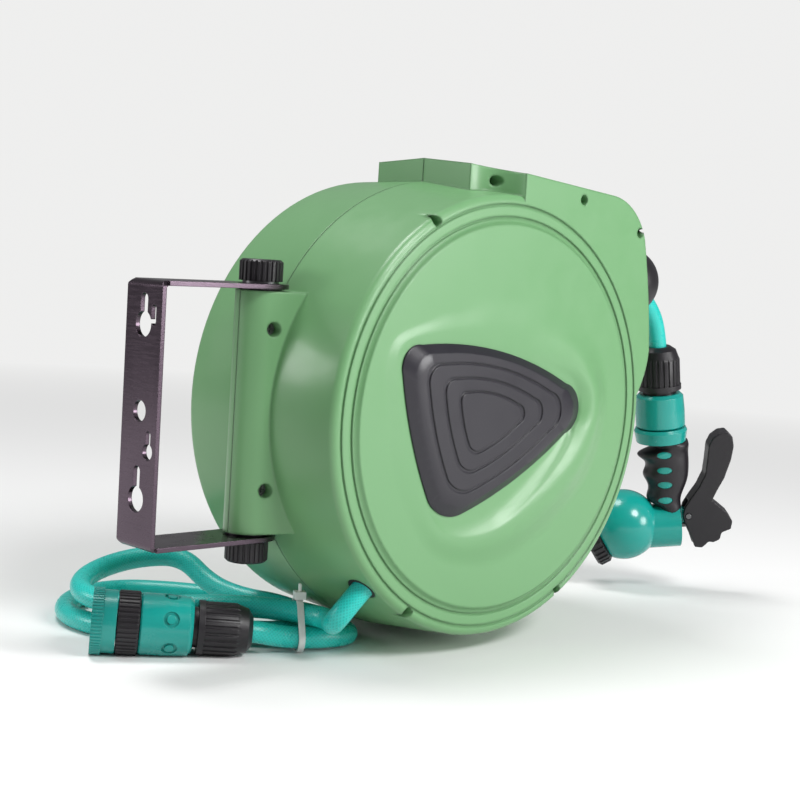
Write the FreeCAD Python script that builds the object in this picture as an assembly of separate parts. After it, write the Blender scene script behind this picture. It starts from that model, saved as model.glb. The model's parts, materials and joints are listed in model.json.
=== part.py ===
import FreeCAD, Part
import math
import os

V = FreeCAD.Vector
os.makedirs("parts", exist_ok=True)

# Self-winding hose reel on a swivelling wall bracket, in millimetres.
# Frame: origin at the centre of the wall plate's back face, X out from the wall, Z up.
# The drum turns about an axis along Y, and the case swivels about a vertical pivot.

# Case shells
case_radius = 155.2            # at the parting plane
front_rim_step = 7.4           # how much smaller the case is at its front face
rear_rim_step = 1.7            # and at its rear face
front_edge_radius = case_radius - front_rim_step
rear_edge_radius = case_radius - rear_rim_step
half_depth = 70.0
edge_round = 5.0
case_wall = 3.0
outer_groove_radius = front_edge_radius - 6.8
inner_groove_radius = front_edge_radius - 15.1
groove_width = 1.8
groove_depth = 1.3
panel_radius = front_edge_radius - 17.3
panel_rise = 2.2

# Overall places
pivot_x = 86.5                 # wall to swivel axis
drum_overlap = 1.7             # how far the case reaches over the swivel axis
drum_x = pivot_x + case_radius - drum_overlap
floor_z = -4.8 - case_radius   # surface that the supply hose lies on

# Snout and ridge on top of the case
ridge_left = -18.0             # from the drum axis
snout_top = case_radius + 9.8  # height of the ridge's left end at the front face
snout_draft = 5.0              # how much the outline grows towards the parting plane
scoop_radius = 28.0
mouth_z = 103.0
mouth_boss_radius = 25.0
mouth_face = case_radius + 2.8  # outlet face, from the drum axis
guide_barrel_radius = 19.0
guide_flange_radius = 24.0
guide_flange_thickness = 3.0
guide_reach = 22.0             # how far the guide stands out of the outlet face
guide_bore_radius = 10.4
guide_depth = 17.0
fit_clearance = 0.3
beyond = 3 * case_radius       # past everything, for cuts that run right through

# Pivot column moulded on the shells
column_nose_radius = 15.6
column_flare = 14.0            # degrees
column_half_height = 76.6
column_back = 13.0             # wall behind the pivot bore, from the swivel axis
bush_radius = 8.0
bush_length = 16.0
pivot_bolt_radius = 5.0
running_clearance = 0.06

# Wall bracket
plate_width = 36.0
plate_thickness = 3.0
thrust_washer_thickness = 1.2
thrust_play = 0.2              # end play of the case between the arms, each end
bracket_half_height = column_half_height + thrust_washer_thickness + thrust_play + plate_thickness
keyhole_radius = 8.0           # the round parts of the two large keyholes
keyhole_heights = (54.5, -50.5)
corner_cut = 5.0
round_hole_radius = 6.5
round_hole_z = 2.5
knob_radius = 13.8
knob_height = 13.5
knob_ribs = 26
knob_washer_radius = 11.5
knob_washer_thickness = 1.4

# Screws through the case, x and z from the drum axis
rim_screw_radius = front_edge_radius - 3.4
rim_screw_angles = [119.0, 239.2, 299.6]
snout_screw_places = [(mouth_face - 88.1, snout_top - 16.3), (mouth_face - 23.8, snout_top - 35.7),
                      (0.0, snout_top - 8.5)]
column_screw_insets = (23.6, 28.1)  # below the column's top and above its foot
column_screw_heights = [column_half_height - column_screw_insets[0],
                        column_screw_insets[1] - column_half_height]
screw_radius = 2.0
screw_head_radius = 3.5
screw_head_height = 2.6
screw_length = 26.0
counterbore_radius = 3.65
column_counterbore_radius = 4.7
boss_radius = 6.0
screw_head_depth = 13.0        # head seat, from the parting plane
column_head_depth = 9.0
screw_clearance = 0.3

# Badge on the front
badge_step = 1.2               # upright edge of the badge
badge_bevel = 4.2
badge_face_scale = 0.88
badge_groove_scales = [0.76, 0.56, 0.37]
badge_groove_width = 0.03
badge_groove_depth = 0.8
badge_margin_scale = 1.05
badge_pocket_depth = 3.6
badge_centre = (-20.0, 2.0)
pad_scale = 1.30               # the pad's foot and top, as shares of the badge
pad_top_scale = 1.09
pad_shift = 12.0               # how far the pad's foot lies towards the outlet
pad_rise = 4.2

# Spool and what it turns on
spool_flange_radius = 130.0
spool_half_width = 33.0
flange_thickness = 3.0
barrel_radius = 55.0
barrel_wall = 3.0
hub_radius = 16.0
hub_bush_radius = 11.0
hub_bush_length = 12.0
spindle_radius = 8.0
spindle_bore_radius = 4.5
spindle_end = 66.0
spoke_count = 6
spoke_thickness = 3.0
winding_radius = 113.0
hose_radius = 7.2
elbow_radius = 13.0
elbow_y = -56.0
seal_radius = 1.3
barb_angle = -120.0
barb_reach = 30.0
barb_radius = 4.6

# Return spring behind the spool
spring_cup_radius = 74.0
spring_cup_wall = 2.0
spring_cup_depth = 22.0
spring_turns = 10
spring_thickness = 0.8
spring_width = 15.0
arbor_radius = 11.0

# Ratchet
ratchet_teeth = 24
ratchet_root_radius = 62.0
ratchet_tip_radius = 67.0
ratchet_thickness = 5.0
pawl_pivot_radius = 84.0
pawl_pivot_angle = 60.0
pawl_hub_radius = 6.0
pawl_pin_radius = 2.5

# Outlet rollers
cage_x = mouth_face - 46.0
cage_z = mouth_z + 7.6
cage_size = 40.0
cage_depth = 26.0
cage_wall = 2.2
roller_length = 30.0
roller_radius = 4.0
roller_pin_radius = 1.5
roller_gap = 9.4               # roller surface from the hose line

# Outlet hose, stop ball and spray gun
ball_radius = 27.0
ball_place = (mouth_face + 49.0, mouth_z - 10.5)     # x and z from the drum axis
outlet_lead_start = (27.0, 124.5)
# Route of the outlet hose, out from the outlet face and up from the drum axis
outlet_steps = [(-8.0, 104.5), (25.0, 99.13), (56.0, 90.0), (81.0, 76.0), (96.7, 55.0), (102.3, 23.3)]
outlet_route = [(mouth_face + out, up) for out, up in outlet_steps]
gun_tilt = 10.0
gun_yaw = 136.3
gun_top = (mouth_face + 99.0, 42.0)        # where the hose nut starts, x and z from the drum axis

# Hose connectors, measured along their own axis from the hose end
nut_length = 35.0
nut_radius = 17.0
nut_ribs = 24
sleeve_gap = 3.2
sleeve_radius = 19.8
sleeve_length = 28.0
supply_sleeve_length = 34.0
core_radius = 13.0
core_bore_radius = 8.6
nipple_radius = 8.3
plug_length = 18.0
adapter_plug_length = 30.0
collar_radius = 21.4
collar_length = 12.0
grip_ring_radius = 20.6
grip_ring_length = 14.0
adapter_radius = 21.5
adapter_length = 15.6
adapter_thread_radius = 12.1   # crest of a three quarter inch inner thread
adapter_thread_length = 10.5
adapter_washer_radius = 13.4   # undercut behind the thread that holds the washer
adapter_washer_room = 2.0
dimple_radius = 5.0

# Spray gun, x towards the nozzle and z up the grip
stem_z = -150.5
stem_radius = 18.0
bulb_radius = 28.8
bulb_x = 33.0
bulb_tilt = 25.0
dial_radius = 22.0
dial_length = 12.0
dial_ribs = 28
trigger_thickness = 17.0
trigger_pin = (-19.5, -141.8)
trigger_pin_radius = 2.2
lug_thickness = 8.0
valve_rod_radius = 2.5
valve_bore_radius = 5.6
valve_nut_radius = 4.4
valve_rod_length = 36.0
trigger_swing = 14.0           # degrees from rest to fully squeezed
spigot_radius = 6.0            # pin that the nozzle dial turns on
spigot_length = 7.0
grip_wall = 3.0

# Supply hose, its gland and the tie
exit_radius = front_edge_radius + 1.2
exit_angle = 227.0
exit_place = (exit_radius * math.cos(math.radians(exit_angle)), -54.0,
              exit_radius * math.sin(math.radians(exit_angle)))
exit_direction = (-0.70, 0.14, -0.70)
supply_nut = (-143.0, 3.0, -143.6)
supply_mouth_rise = 4.5
supply_heading = 145.6         # degrees from X, the way the connector points
tie_width = 4.2
tie_thickness = 1.3

nodes = {}


def drum(x, y, z):
    """A point given from the drum's centre."""
    return V(drum_x + x, y, z)


def cylinder(radius, length, base, axis):
    return Part.makeCylinder(radius, length, base, axis)


def ring(outer, inner, length, base, axis):
    return cylinder(outer, length, base, axis).cut(cylinder(inner, length, base, axis))


def block(low, high):
    size = high - low
    return Part.makeBox(size.x, size.y, size.z, low)


def fused(shapes):
    whole = shapes[0]
    if len(shapes) > 1:
        whole = whole.multiFuse(shapes[1:])
    return whole.removeSplitter()


def lathe(profile):
    """Turn an outline of radius and height about Z."""
    points = [V(r, 0, z) for r, z in profile]
    face = Part.Face(Part.makePolygon(points + [points[0]]))
    return face.revolve(V(0, 0, 0), V(0, 0, 1), 360)


def stood(shape, base, direction, turn=0.0):
    """Move a shape made about Z to a base point and direction."""
    spun = FreeCAD.Rotation(V(0, 0, 1), turn)
    aimed = FreeCAD.Rotation(V(0, 0, 1), direction)
    placed = shape.copy()
    placed.Placement = FreeCAD.Placement(base, aimed.multiply(spun)).multiply(shape.Placement)
    return placed


def ribbed(radius, depth, count, length):
    """A prism about Z whose side is fluted."""
    points = []
    for rib in range(count):
        for share, r in ((0.0, radius), (0.5, radius), (0.6, radius - depth), (0.9, radius - depth)):
            angle = 2 * math.pi * (rib + share) / count
            points.append(V(r * math.cos(angle), r * math.sin(angle), 0))
    face = Part.Face(Part.makePolygon(points + [points[0]]))
    return face.extrude(V(0, 0, length))


def outline_wire(pieces, place):
    """A closed wire from start points, each with an arc's middle point or None for a line."""
    edges = []
    for index, (start, middle) in enumerate(pieces):
        end = pieces[(index + 1) % len(pieces)][0]
        if middle is None:
            edges.append(Part.LineSegment(place(*start), place(*end)).toShape())
        else:
            edges.append(Part.Arc(place(*start), place(*middle), place(*end)).toShape())
    return Part.Wire(edges)


def prism(pieces, place, push):
    return Part.Face(outline_wire(pieces, place)).extrude(push)


def arc_from(start, tangent, end):
    """An arc that leaves start along tangent and reaches end, or a line where it is straight."""
    chord = end - start
    along = V(chord).normalize()
    side = tangent - along * tangent.dot(along)
    turn = math.atan2(side.Length, tangent.dot(along))
    if turn < 1e-4:
        return Part.LineSegment(start, end).toShape(), 1e9
    middle = start + chord * 0.5 + side.normalize() * (chord.Length * 0.5 * math.tan(turn / 2))
    return Part.Arc(start, middle, end).toShape(), chord.Length / (2 * math.sin(turn))


def biarc(p1, t1, p2, t2):
    """Two tangent arcs between two points with given directions."""
    v = p2 - p1
    s = v.dot(t1 + t2)
    k = 2 * (1 - t1.dot(t2))
    if k < 1e-6:
        d = v.Length / 2
    else:
        d = (-s + math.sqrt(s * s + k * v.dot(v))) / k
    joint = (p1 + p2 + (t1 - t2) * d) * 0.5
    first, radius_1 = arc_from(p1, t1, joint)
    second, radius_2 = arc_from(p2, t2 * -1, joint)
    return [first, second], [radius_1, radius_2]


def rounded_route(points):
    """Straight runs joined by tangent arcs as large as the runs allow."""
    edges = []
    radii = []
    last = points[0]
    for before, corner, after in zip(points, points[1:], points[2:]):
        back = before - corner
        ahead = after - corner
        shorter = min(back.Length, ahead.Length)
        reach = 0.45 * shorter
        half_turn = (math.pi - back.getAngle(ahead)) / 2
        start = corner + back.normalize() * reach
        end = corner + ahead.normalize() * reach
        inward = (back + ahead).normalize()
        radius = reach / math.tan(half_turn)
        middle = corner + inward * (radius / math.cos(half_turn) - radius)
        edges.append(Part.LineSegment(last, start).toShape())
        edges.append(Part.Arc(start, middle, end).toShape())
        radii.append(radius)
        last = end
    edges.append(Part.LineSegment(last, points[-1]).toShape())
    return edges, radii


def tube(edges, radius):
    """A solid of round section along a chain of edges."""
    spine = Part.Wire(edges)
    start = edges[0].valueAt(edges[0].FirstParameter)
    direction = edges[0].tangentAt(edges[0].FirstParameter)
    section = Part.Wire(Part.Circle(start, direction, radius).toShape())
    return spine.makePipeShell([section], True, False)


def tube_report(name, solid, edges, radius, radii):
    length = sum(edge.Length for edge in edges)
    expected = math.pi * radius * radius * length
    print(name, "length %.0f" % length, "least radius %.0f" % min(radii),
          "volume share %.3f" % (solid.Volume / expected))


# Case shells

def drum_half(rim, edge, depth, side):
    """One half of the drum, turned about Y, on the side of the given sign."""
    def place(r, y):
        return drum(r, side * y, 0)
    knee = edge_round * (1 - math.sqrt(0.5))
    pieces = [((0, 0), None), ((rim, 0), None),
              ((edge, depth - edge_round), (edge - knee, depth - knee)),
              ((edge - edge_round, depth), None), ((0, depth), None)]
    face = Part.Face(outline_wire(pieces, place))
    solid = face.revolve(drum(0, 0, 0), V(0, 1, 0), 360)
    return outward(solid)


def outward(solid):
    if solid.Volume < 0:
        solid.reverse()
    return solid


def snout_wire(grow, inset, y):
    g = grow - inset
    out = mouth_face
    top = snout_top
    pieces = [((ridge_left + inset, top + g), None),
              ((out - 55.5, top - 11.3 + g), (out - 32.0 + 0.6 * g, top - 21.0 + 0.8 * g)),
              ((out - 18.0 + g, mouth_z + 22.0 + 0.3 * g), (out - 9.0 + g, mouth_z - 18.0)),
              ((out - 3.4 + g, mouth_z - 58.0), (out - 6.5 + g, mouth_z - 75.0)),
              ((out - 16.5 + g, mouth_z - 94.0), None), ((out - 58.0, 0.0), None),
              ((ridge_left + inset, mouth_z - 3.0), None)]
    return outline_wire(pieces, lambda x, z: drum(x, y, z))


def snout_half(inset, side):
    """One half of the snout with the scoops that lead its end into the drum."""
    depth = half_depth - inset
    low = snout_wire(snout_draft, inset, 0)
    high = snout_wire(snout_draft * inset / half_depth, inset, side * depth)
    half = outward(Part.makeLoft([low, high], True, True))
    scoop_place = drum(ridge_left, side * (half_depth + 3), snout_top - 40)
    scoop = cylinder(scoop_radius + inset, 60, scoop_place, V(0, 0, 1))
    return half.cut(scoop)


def column_half(side, back):
    """One half of the pivot column, with its flanks flaring towards the drum."""
    flare = math.radians(column_flare)
    centre = pivot_x
    touch = (centre - column_nose_radius * math.sin(flare), column_nose_radius * math.cos(flare))
    mid_angle = math.radians(135 + column_flare / 2)
    middle = (centre + column_nose_radius * math.cos(mid_angle), column_nose_radius * math.sin(mid_angle))
    back_x = centre + back
    reach = touch[1] + (back_x - touch[0]) * math.tan(flare)
    pieces = [((centre - column_nose_radius, 0), middle), (touch, None), ((back_x, reach), None),
              ((back_x, 0), None)]
    place = lambda x, y: V(x, side * y, -column_half_height)
    return outward(prism(pieces, place, V(0, 0, 2 * column_half_height)))


def front_panel():
    """The raised panel with a softly raised pad around the badge."""
    base = half_depth
    rim = panel_radius
    profile = [(0, 0), (rim, 0), (rim - panel_rise, panel_rise), (0, panel_rise)]
    panel = stood(lathe(profile), drum(0, -base, 0), V(0, -1, 0))
    low = badge_wire(pad_scale, -base - panel_rise + 0.5, pad_shift)
    high = badge_wire(pad_top_scale, -base - panel_rise - pad_rise)
    pad = outward(Part.makeLoft([low, high], True, True))
    return [panel, pad]


def ring_groove(radius, y):
    half = groove_width / 2
    return ring(radius + half, radius - half, groove_depth, drum(0, y, 0), V(0, 1, 0))


def screw_axis_cuts(x, z, side, counterbore, head_depth):
    """Clearance for one screw: a deep counterbore in front, a pilot hole behind."""
    if side < 0:
        bore = cylinder(counterbore, 80, drum(x, -head_depth, z), V(0, -1, 0))
        hole = cylinder(screw_radius + screw_clearance, head_depth + 1, drum(x, 0.5, z), V(0, -1, 0))
        return [bore, hole]
    return [cylinder(screw_radius, screw_length - head_depth + 2, drum(x, -0.5, z), V(0, 1, 0))]


def case_screw_places():
    angles = [math.radians(angle) for angle in rim_screw_angles]
    rim = [(rim_screw_radius * math.cos(a), rim_screw_radius * math.sin(a)) for a in angles]
    return rim + snout_screw_places


def screw_boss(x, z, side):
    reach = half_depth - case_wall + 1 if side < 0 else screw_length
    boss = cylinder(boss_radius, reach, drum(x, 0, z), V(0, side, 0))
    return boss


def mouth_boss(side):
    start = cage_x + cage_depth / 2 + 2
    boss = cylinder(mouth_boss_radius, mouth_face - start, drum(start, 0, mouth_z), V(1, 0, 0))
    half = block(drum(0, min(0, side * half_depth), 0), drum(beyond, max(0, side * half_depth), beyond))
    return boss.common(half)


def roller_rib(side):
    """Rib from the shell's wall that carries one side of the roller frame."""
    near = side * cage_size / 2
    far = side * (half_depth - case_wall + 1)
    return block(drum(cage_x - 3, min(near, far), cage_z - 8), drum(cage_x + 3, max(near, far), cage_z + 8))


def case_shell(side):
    edge = front_edge_radius if side < 0 else rear_edge_radius
    outside = [drum_half(case_radius, edge, half_depth, side), snout_half(0, side),
               column_half(side, 60), mouth_boss(side)]
    if side < 0:
        outside += front_panel()
    inner_drum = drum_half(case_radius - case_wall, edge - case_wall, half_depth - case_wall, side)
    hollow = fused([inner_drum, snout_half(case_wall, side)])
    keep = [column_half(side, column_back), mouth_boss(side), roller_rib(side)]
    places = case_screw_places()
    keep += [screw_boss(x, z, side) for x, z in places]
    if side < 0:
        inner_y = -(half_depth - case_wall)
        collar = ring(elbow_radius + 4, elbow_radius + fit_clearance, 5, drum(0, inner_y, 0), V(0, 1, 0))
        keep.append(collar)
        keep.append(pawl_boss())
    else:
        keep.append(rear_boss())
    hollow = hollow.cut(keep[0].multiFuse(keep[1:]))
    shell = fused(outside).cut(hollow)
    cuts = []
    for x, z in places:
        cuts += screw_axis_cuts(x, z, side, counterbore_radius, screw_head_depth)
    for z in column_screw_heights:
        cuts += screw_axis_cuts(pivot_x - drum_x, z, side, column_counterbore_radius, column_head_depth)
    for end in (-1, 1):
        seat = V(pivot_x, 0, end * (column_half_height - bush_length))
        cuts.append(cylinder(bush_radius, bush_length + 1, seat, V(0, 0, end)))
        cuts.append(cylinder(pivot_bolt_radius + 0.4, 4, seat + V(0, 0, -3 * end), V(0, 0, end)))
    cuts.append(cylinder(guide_barrel_radius, 60, drum(mouth_face - 40, 0, mouth_z), V(1, 0, 0)))
    if side < 0:
        cuts.append(ring_groove(outer_groove_radius, -half_depth))
        cuts.append(ring_groove(inner_groove_radius, -half_depth))
        cuts.append(badge_pocket())
        cuts.append(exit_hole())
    shell = shell.cut(cuts[0].multiFuse(cuts[1:]))
    trim = block(drum(-beyond, min(0, side * 2 * half_depth), -beyond),
                 drum(beyond, max(0, side * 2 * half_depth), beyond))
    shell = shell.common(trim)
    return largest(shell)


def largest(shape):
    return max(shape.Solids, key=lambda solid: solid.Volume)


def rear_boss():
    """Ring that holds the spindle's flatted end."""
    start = half_depth - case_wall - 8
    boss = cylinder(spindle_radius + 6, 9, drum(0, start, 0), V(0, 1, 0))
    return boss.cut(flatted_rod(spindle_radius + running_clearance, start - 1, spindle_end + 0.3))


def flatted_rod(radius, start, end):
    rod = cylinder(radius, end - start, drum(0, start, 0), V(0, 1, 0))
    flat = block(drum(radius - 2, start - 1, -radius), drum(radius + 1, end + 1, radius))
    return rod.cut(flat)


def exit_hole():
    direction = V(*exit_direction).normalize()
    return cylinder(hose_radius + 2.3, 24, drum(*exit_place) - direction * 14, direction)


# Badge

def badge_wire(scale, y, shift=0.0):
    """The badge's outline at a scale about its centre, moved sideways by a shift."""
    cx, cz = badge_centre
    pieces = [((-80.0, 48.8), (-10.0, 45.0)), ((60.0, 22.4), (75.0, 6.0)),
              ((62.0, -12.5), (15.0, -41.5)), ((-34.0, -61.5), (-52.0, -62.0)),
              ((-66.0, -52.5), (-84.0, -12.0)), ((-95.5, 30.0), (-93.0, 44.0))]
    scaled = [((cx + scale * (a[0] - cx), cz + scale * (a[1] - cz)),
               (cx + scale * (b[0] - cx), cz + scale * (b[1] - cz))) for a, b in pieces]
    return outline_wire(scaled, lambda x, z: drum(x + shift, y, z))


def badge_floor():
    return -(half_depth + panel_rise + pad_rise - badge_pocket_depth)


def badge_pocket():
    face = Part.Face(badge_wire(badge_margin_scale, badge_floor()))
    return face.extrude(V(0, -20, 0))


def badge_plate():
    """Rounded triangular badge with a wide bevel and fine concentric grooves."""
    floor = badge_floor()
    top = floor - badge_step - badge_bevel
    edge = Part.Face(badge_wire(1.0, floor)).extrude(V(0, -badge_step, 0))
    wires = [badge_wire(1.0, floor - badge_step), badge_wire(badge_face_scale, top)]
    bevel = Part.makeLoft(wires, True, True)
    plate = fused([outward(edge), outward(bevel)])
    for scale in badge_groove_scales:
        push = V(0, 1 + badge_groove_depth, 0)
        outer = Part.Face(badge_wire(scale, top - 1)).extrude(push)
        inner = Part.Face(badge_wire(scale - badge_groove_width, top - 1)).extrude(push)
        plate = plate.cut(outer.cut(inner))
    return plate


# Fasteners

def case_screw(x, z, head_depth):
    shank = cylinder(screw_radius, screw_length, drum(x, -head_depth, z), V(0, 1, 0))
    head = cylinder(screw_head_radius, screw_head_height, drum(x, -head_depth, z), V(0, -1, 0))
    slot = block(drum(x - 2.4, -head_depth - screw_head_height - 1, z - 0.45),
                 drum(x + 2.4, -head_depth - screw_head_height + 1.2, z + 0.45))
    cross = slot.copy()
    cross.rotate(drum(x, 0, z), V(0, 1, 0), 90)
    return fused([shank, head]).cut(slot).cut(cross)


def add_screws():
    nodes["case_screws"] = [case_screw(x, z, screw_head_depth) for x, z in case_screw_places()]
    x = pivot_x - drum_x
    nodes["column_screws"] = [case_screw(x, z, column_head_depth) for z in column_screw_heights]


# Bracket and pivot

def arm_inner():
    return bracket_half_height - plate_thickness


def keyhole(y, z, wide_radius, slot_radius, top):
    round_part = cylinder(wide_radius, 20, V(-5, y, z), V(1, 0, 0))
    end = cylinder(slot_radius, 20, V(-5, y, top - slot_radius), V(1, 0, 0))
    neck = block(V(-5, y - slot_radius, z), V(15, y + slot_radius, top - slot_radius))
    return fused([round_part, end, neck])


def wall_bracket():
    """Bent strap: wall plate with keyholes, and two arms with round ends."""
    half = plate_width / 2
    high = bracket_half_height
    plate = block(V(0, -half, -high), V(plate_thickness, half, high))
    shapes = [plate]
    for end in (-1, 1):
        low_z = min(end * arm_inner(), end * high)
        arm = block(V(0, -half, low_z), V(pivot_x, half, low_z + plate_thickness))
        tip = cylinder(half, plate_thickness, V(pivot_x, 0, low_z), V(0, 0, 1))
        shapes += [arm, tip]
    strap = fused(shapes)
    outer = [edge for edge in strap.Edges if edge_along_y(edge, 0, high)]
    inner = [edge for edge in strap.Edges if edge_along_y(edge, plate_thickness, arm_inner())]
    strap = strap.makeFillet(plate_thickness + 1.5, outer)
    inner = [edge for edge in strap.Edges if edge_along_y(edge, plate_thickness, arm_inner())]
    strap = strap.makeFillet(1.5, inner)
    upper, lower = keyhole_heights
    cuts = [keyhole(0, upper, keyhole_radius, 3.75, upper + 18.5),
            keyhole(-10.0, upper + 2.5, 2.7, 2.5, upper + 12.0),
            keyhole(-10.0, -21.0, 5.0, 2.6, -8.5), keyhole(0, lower, keyhole_radius, 3.5, lower + 20.2),
            cylinder(round_hole_radius, 20, V(-5, 0, round_hole_z), V(1, 0, 0))]
    for end in (-1, 1):
        cuts.append(cylinder(pivot_bolt_radius, 20, V(pivot_x, 0, end * high - 10), V(0, 0, 1)))
        for side in (-1, 1):
            corner = V(0, side * half, end * high)
            notch = Part.makeBox(2 * corner_cut, 2 * corner_cut, 2 * corner_cut,
                                 V(-corner_cut, -corner_cut, -corner_cut))
            notch.rotate(V(0, 0, 0), V(1, 0, 0), 45)
            notch.translate(corner + V(0, side * corner_cut * 0.4, end * corner_cut * 0.4))
            cuts.append(notch)
    return strap.cut(cuts[0].multiFuse(cuts[1:]))


def edge_along_y(edge, x, z):
    box = edge.BoundBox
    flat = box.XLength < 0.01 and box.ZLength < 0.01 and box.YLength > 10
    return flat and abs(box.XMin - x) < 0.01 and abs(abs(box.ZMin) - z) < 0.01


def knob():
    """Ribbed cap, made about Z with its seat at zero."""
    body = ribbed(knob_radius, 0.9, knob_ribs, knob_height)
    cap = lathe([(0, 0), (knob_radius + 1, 0), (knob_radius + 1, knob_height - 2.5),
                 (knob_radius - 1.6, knob_height), (0, knob_height)])
    bore = cylinder(pivot_bolt_radius, knob_height - 3, V(0, 0, 0), V(0, 0, 1))
    return body.common(cap).cut(bore)


def add_pivot():
    """Studs, bushes and washers of both pivots, each kind in one node."""
    kinds = {"knob_washers": [], "pivot_bolts": [], "pivot_bushes": [], "thrust_washers": []}
    for name, end in (("upper", 1), ("lower", -1)):
        up = V(0, 0, end)
        seat = V(pivot_x, 0, end * bracket_half_height)
        nodes[name + "_pivot_knob"] = [stood(knob(), seat + up * knob_washer_thickness, up)]
        kinds["knob_washers"].append(
            ring(knob_washer_radius, pivot_bolt_radius, knob_washer_thickness, seat, up))
        bolt_end = V(pivot_x, 0, end * (column_half_height - bush_length + 1.5))
        bolt_top = bracket_half_height + knob_washer_thickness + knob_height - 3.5
        kinds["pivot_bolts"].append(
            cylinder(pivot_bolt_radius - 0.02, bolt_top - abs(bolt_end.z), bolt_end, up))
        bush_start = V(pivot_x, 0, end * (column_half_height - bush_length))
        bore = pivot_bolt_radius + running_clearance
        kinds["pivot_bushes"].append(ring(bush_radius, bore, bush_length, bush_start, up))
        gap = arm_inner() - column_half_height - thrust_washer_thickness
        start = V(pivot_x, 0, end * (column_half_height + gap / 2))
        kinds["thrust_washers"].append(ring(knob_radius, bore, thrust_washer_thickness, start, up))
    nodes.update(kinds)


# Spool, spindle, spring and ratchet

def y_disc(outer, inner, start, end):
    return ring(outer, inner, end - start, drum(0, start, 0), V(0, 1, 0))


def spool_barrel():
    half = spool_half_width
    parts = [y_disc(barrel_radius, barrel_radius - barrel_wall, -half, half),
             y_disc(hub_radius, hub_bush_radius, -half, half)]
    for index in range(spoke_count):
        spoke = block(V(hub_radius - 1, -half, -spoke_thickness / 2),
                      V(barrel_radius - barrel_wall + 1, half, spoke_thickness / 2))
        spoke.rotate(V(0, 0, 0), V(0, 1, 0), 360.0 * index / spoke_count + 30)
        spoke.translate(drum(0, 0, 0))
        parts.append(spoke)
    barrel = fused(parts)
    pipe = cylinder(barb_radius, barrel_radius, drum(hub_bush_radius, 0, 0), V(1, 0, 0))
    return barrel.cut(pipe)


def outlet_pipe():
    length = barrel_radius - hub_bush_radius - 0.5
    return ring(barb_radius, barb_radius - 1.4, length, drum(hub_bush_radius, 0, 0), V(1, 0, 0))


def water_spindle():
    rod = flatted_rod(spindle_radius, half_depth - case_wall - 8, spindle_end)
    body = cylinder(spindle_radius, half_depth - case_wall - 8 - elbow_y, drum(0, elbow_y, 0), V(0, 1, 0))
    bore = cylinder(spindle_bore_radius, -elbow_y + 4, drum(0, elbow_y, 0), V(0, 1, 0))
    port = cylinder(3.5, 2 * spindle_radius, drum(-spindle_radius, 0, 0), V(1, 0, 0))
    return fused([body, rod]).cut(bore).cut(port)


def inlet_elbow():
    front = -(half_depth - case_wall) + 0.2
    body = cylinder(elbow_radius, elbow_y + 12 - front, drum(0, front, 0), V(0, 1, 0))
    aim = V(math.cos(math.radians(barb_angle)), 0, math.sin(math.radians(barb_angle)))
    centre = drum(0, elbow_y + 3, 0)
    barb = cylinder(barb_radius, barb_reach, centre, aim)
    pocket = cylinder(spindle_radius, 40, drum(0, elbow_y, 0), V(0, 1, 0))
    way = cylinder(barb_radius - 1.4, barb_reach, centre, aim)
    return fused([body, barb]).cut(pocket.fuse(way))


def seal(y):
    circle = Part.Face(Part.Wire(Part.Circle(drum(spindle_radius + seal_radius + 0.1, y, 0), V(0, 0, 1),
                                             seal_radius).toShape()))
    return outward(circle.revolve(drum(0, 0, 0), V(0, 1, 0), 360))


def spring_strip():
    """Flat spiral of half turns between the arbor and the cup."""
    half_turns = 2 * spring_turns
    start_radius = arbor_radius + 0.3 + spring_thickness / 2
    end_radius = spring_cup_radius - spring_cup_wall - 0.3 - spring_thickness / 2
    growth = (end_radius - start_radius) / half_turns
    y = spool_half_width + flange_thickness + spring_cup_wall + 2.5
    arcs = {-0.5: [], 0.5: []}
    for offset in arcs:
        for k in range(half_turns):
            side = 1 if k % 2 == 0 else -1
            radius = start_radius + growth * (k + 0.5)
            shift = -side * growth / 2
            r = radius + offset * spring_thickness
            points = [(shift + side * r * math.cos(a), side * r * math.sin(a))
                      for a in (0, math.pi / 2, math.pi)]
            arcs[offset].append([drum(px, y, pz) for px, pz in points])
    edges = [Part.Arc(*arc).toShape() for arc in arcs[0.5]]
    edges += [Part.Arc(*arc).toShape() for arc in arcs[-0.5]]
    edges.append(Part.LineSegment(arcs[0.5][0][0], arcs[-0.5][0][0]).toShape())
    edges.append(Part.LineSegment(arcs[0.5][-1][2], arcs[-0.5][-1][2]).toShape())
    wire = Part.Wire(Part.__sortEdges__(edges))
    strip = Part.Face(wire).extrude(V(0, spring_width, 0))
    return fused([strip, spring_hook()])


def spring_hook():
    """Inner end of the strip, bent into a slot of the arbor."""
    y = spool_half_width + flange_thickness + spring_cup_wall + 2.5
    outer = arbor_radius + 0.3 + spring_thickness
    return block(drum(arbor_radius - 1.5, y, 0), drum(outer, y + spring_width, spring_thickness))


def spring_cup():
    start = spool_half_width + flange_thickness
    floor = y_disc(spring_cup_radius, hub_radius, start, start + spring_cup_wall)
    rim = y_disc(spring_cup_radius, spring_cup_radius - spring_cup_wall, start, start + spring_cup_depth)
    return fused([floor, rim])


def ratchet_ring():
    points = []
    pitch = 2 * math.pi / ratchet_teeth
    start = -(spool_half_width + flange_thickness)
    for tooth in range(ratchet_teeth):
        for r, angle in ((ratchet_tip_radius, tooth * pitch), (ratchet_root_radius, tooth * pitch + 0.004)):
            points.append(drum(r * math.cos(angle), start, r * math.sin(angle)))
    face = Part.Face(Part.makePolygon(points + [points[0]]))
    wheel = face.extrude(V(0, -ratchet_thickness, 0))
    return wheel.cut(cylinder(barrel_radius + 2, ratchet_thickness, drum(0, start, 0), V(0, -1, 0)))


def polar(r, degrees, y):
    a = math.radians(degrees)
    return drum(r * math.cos(a), y, r * math.sin(a))


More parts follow.
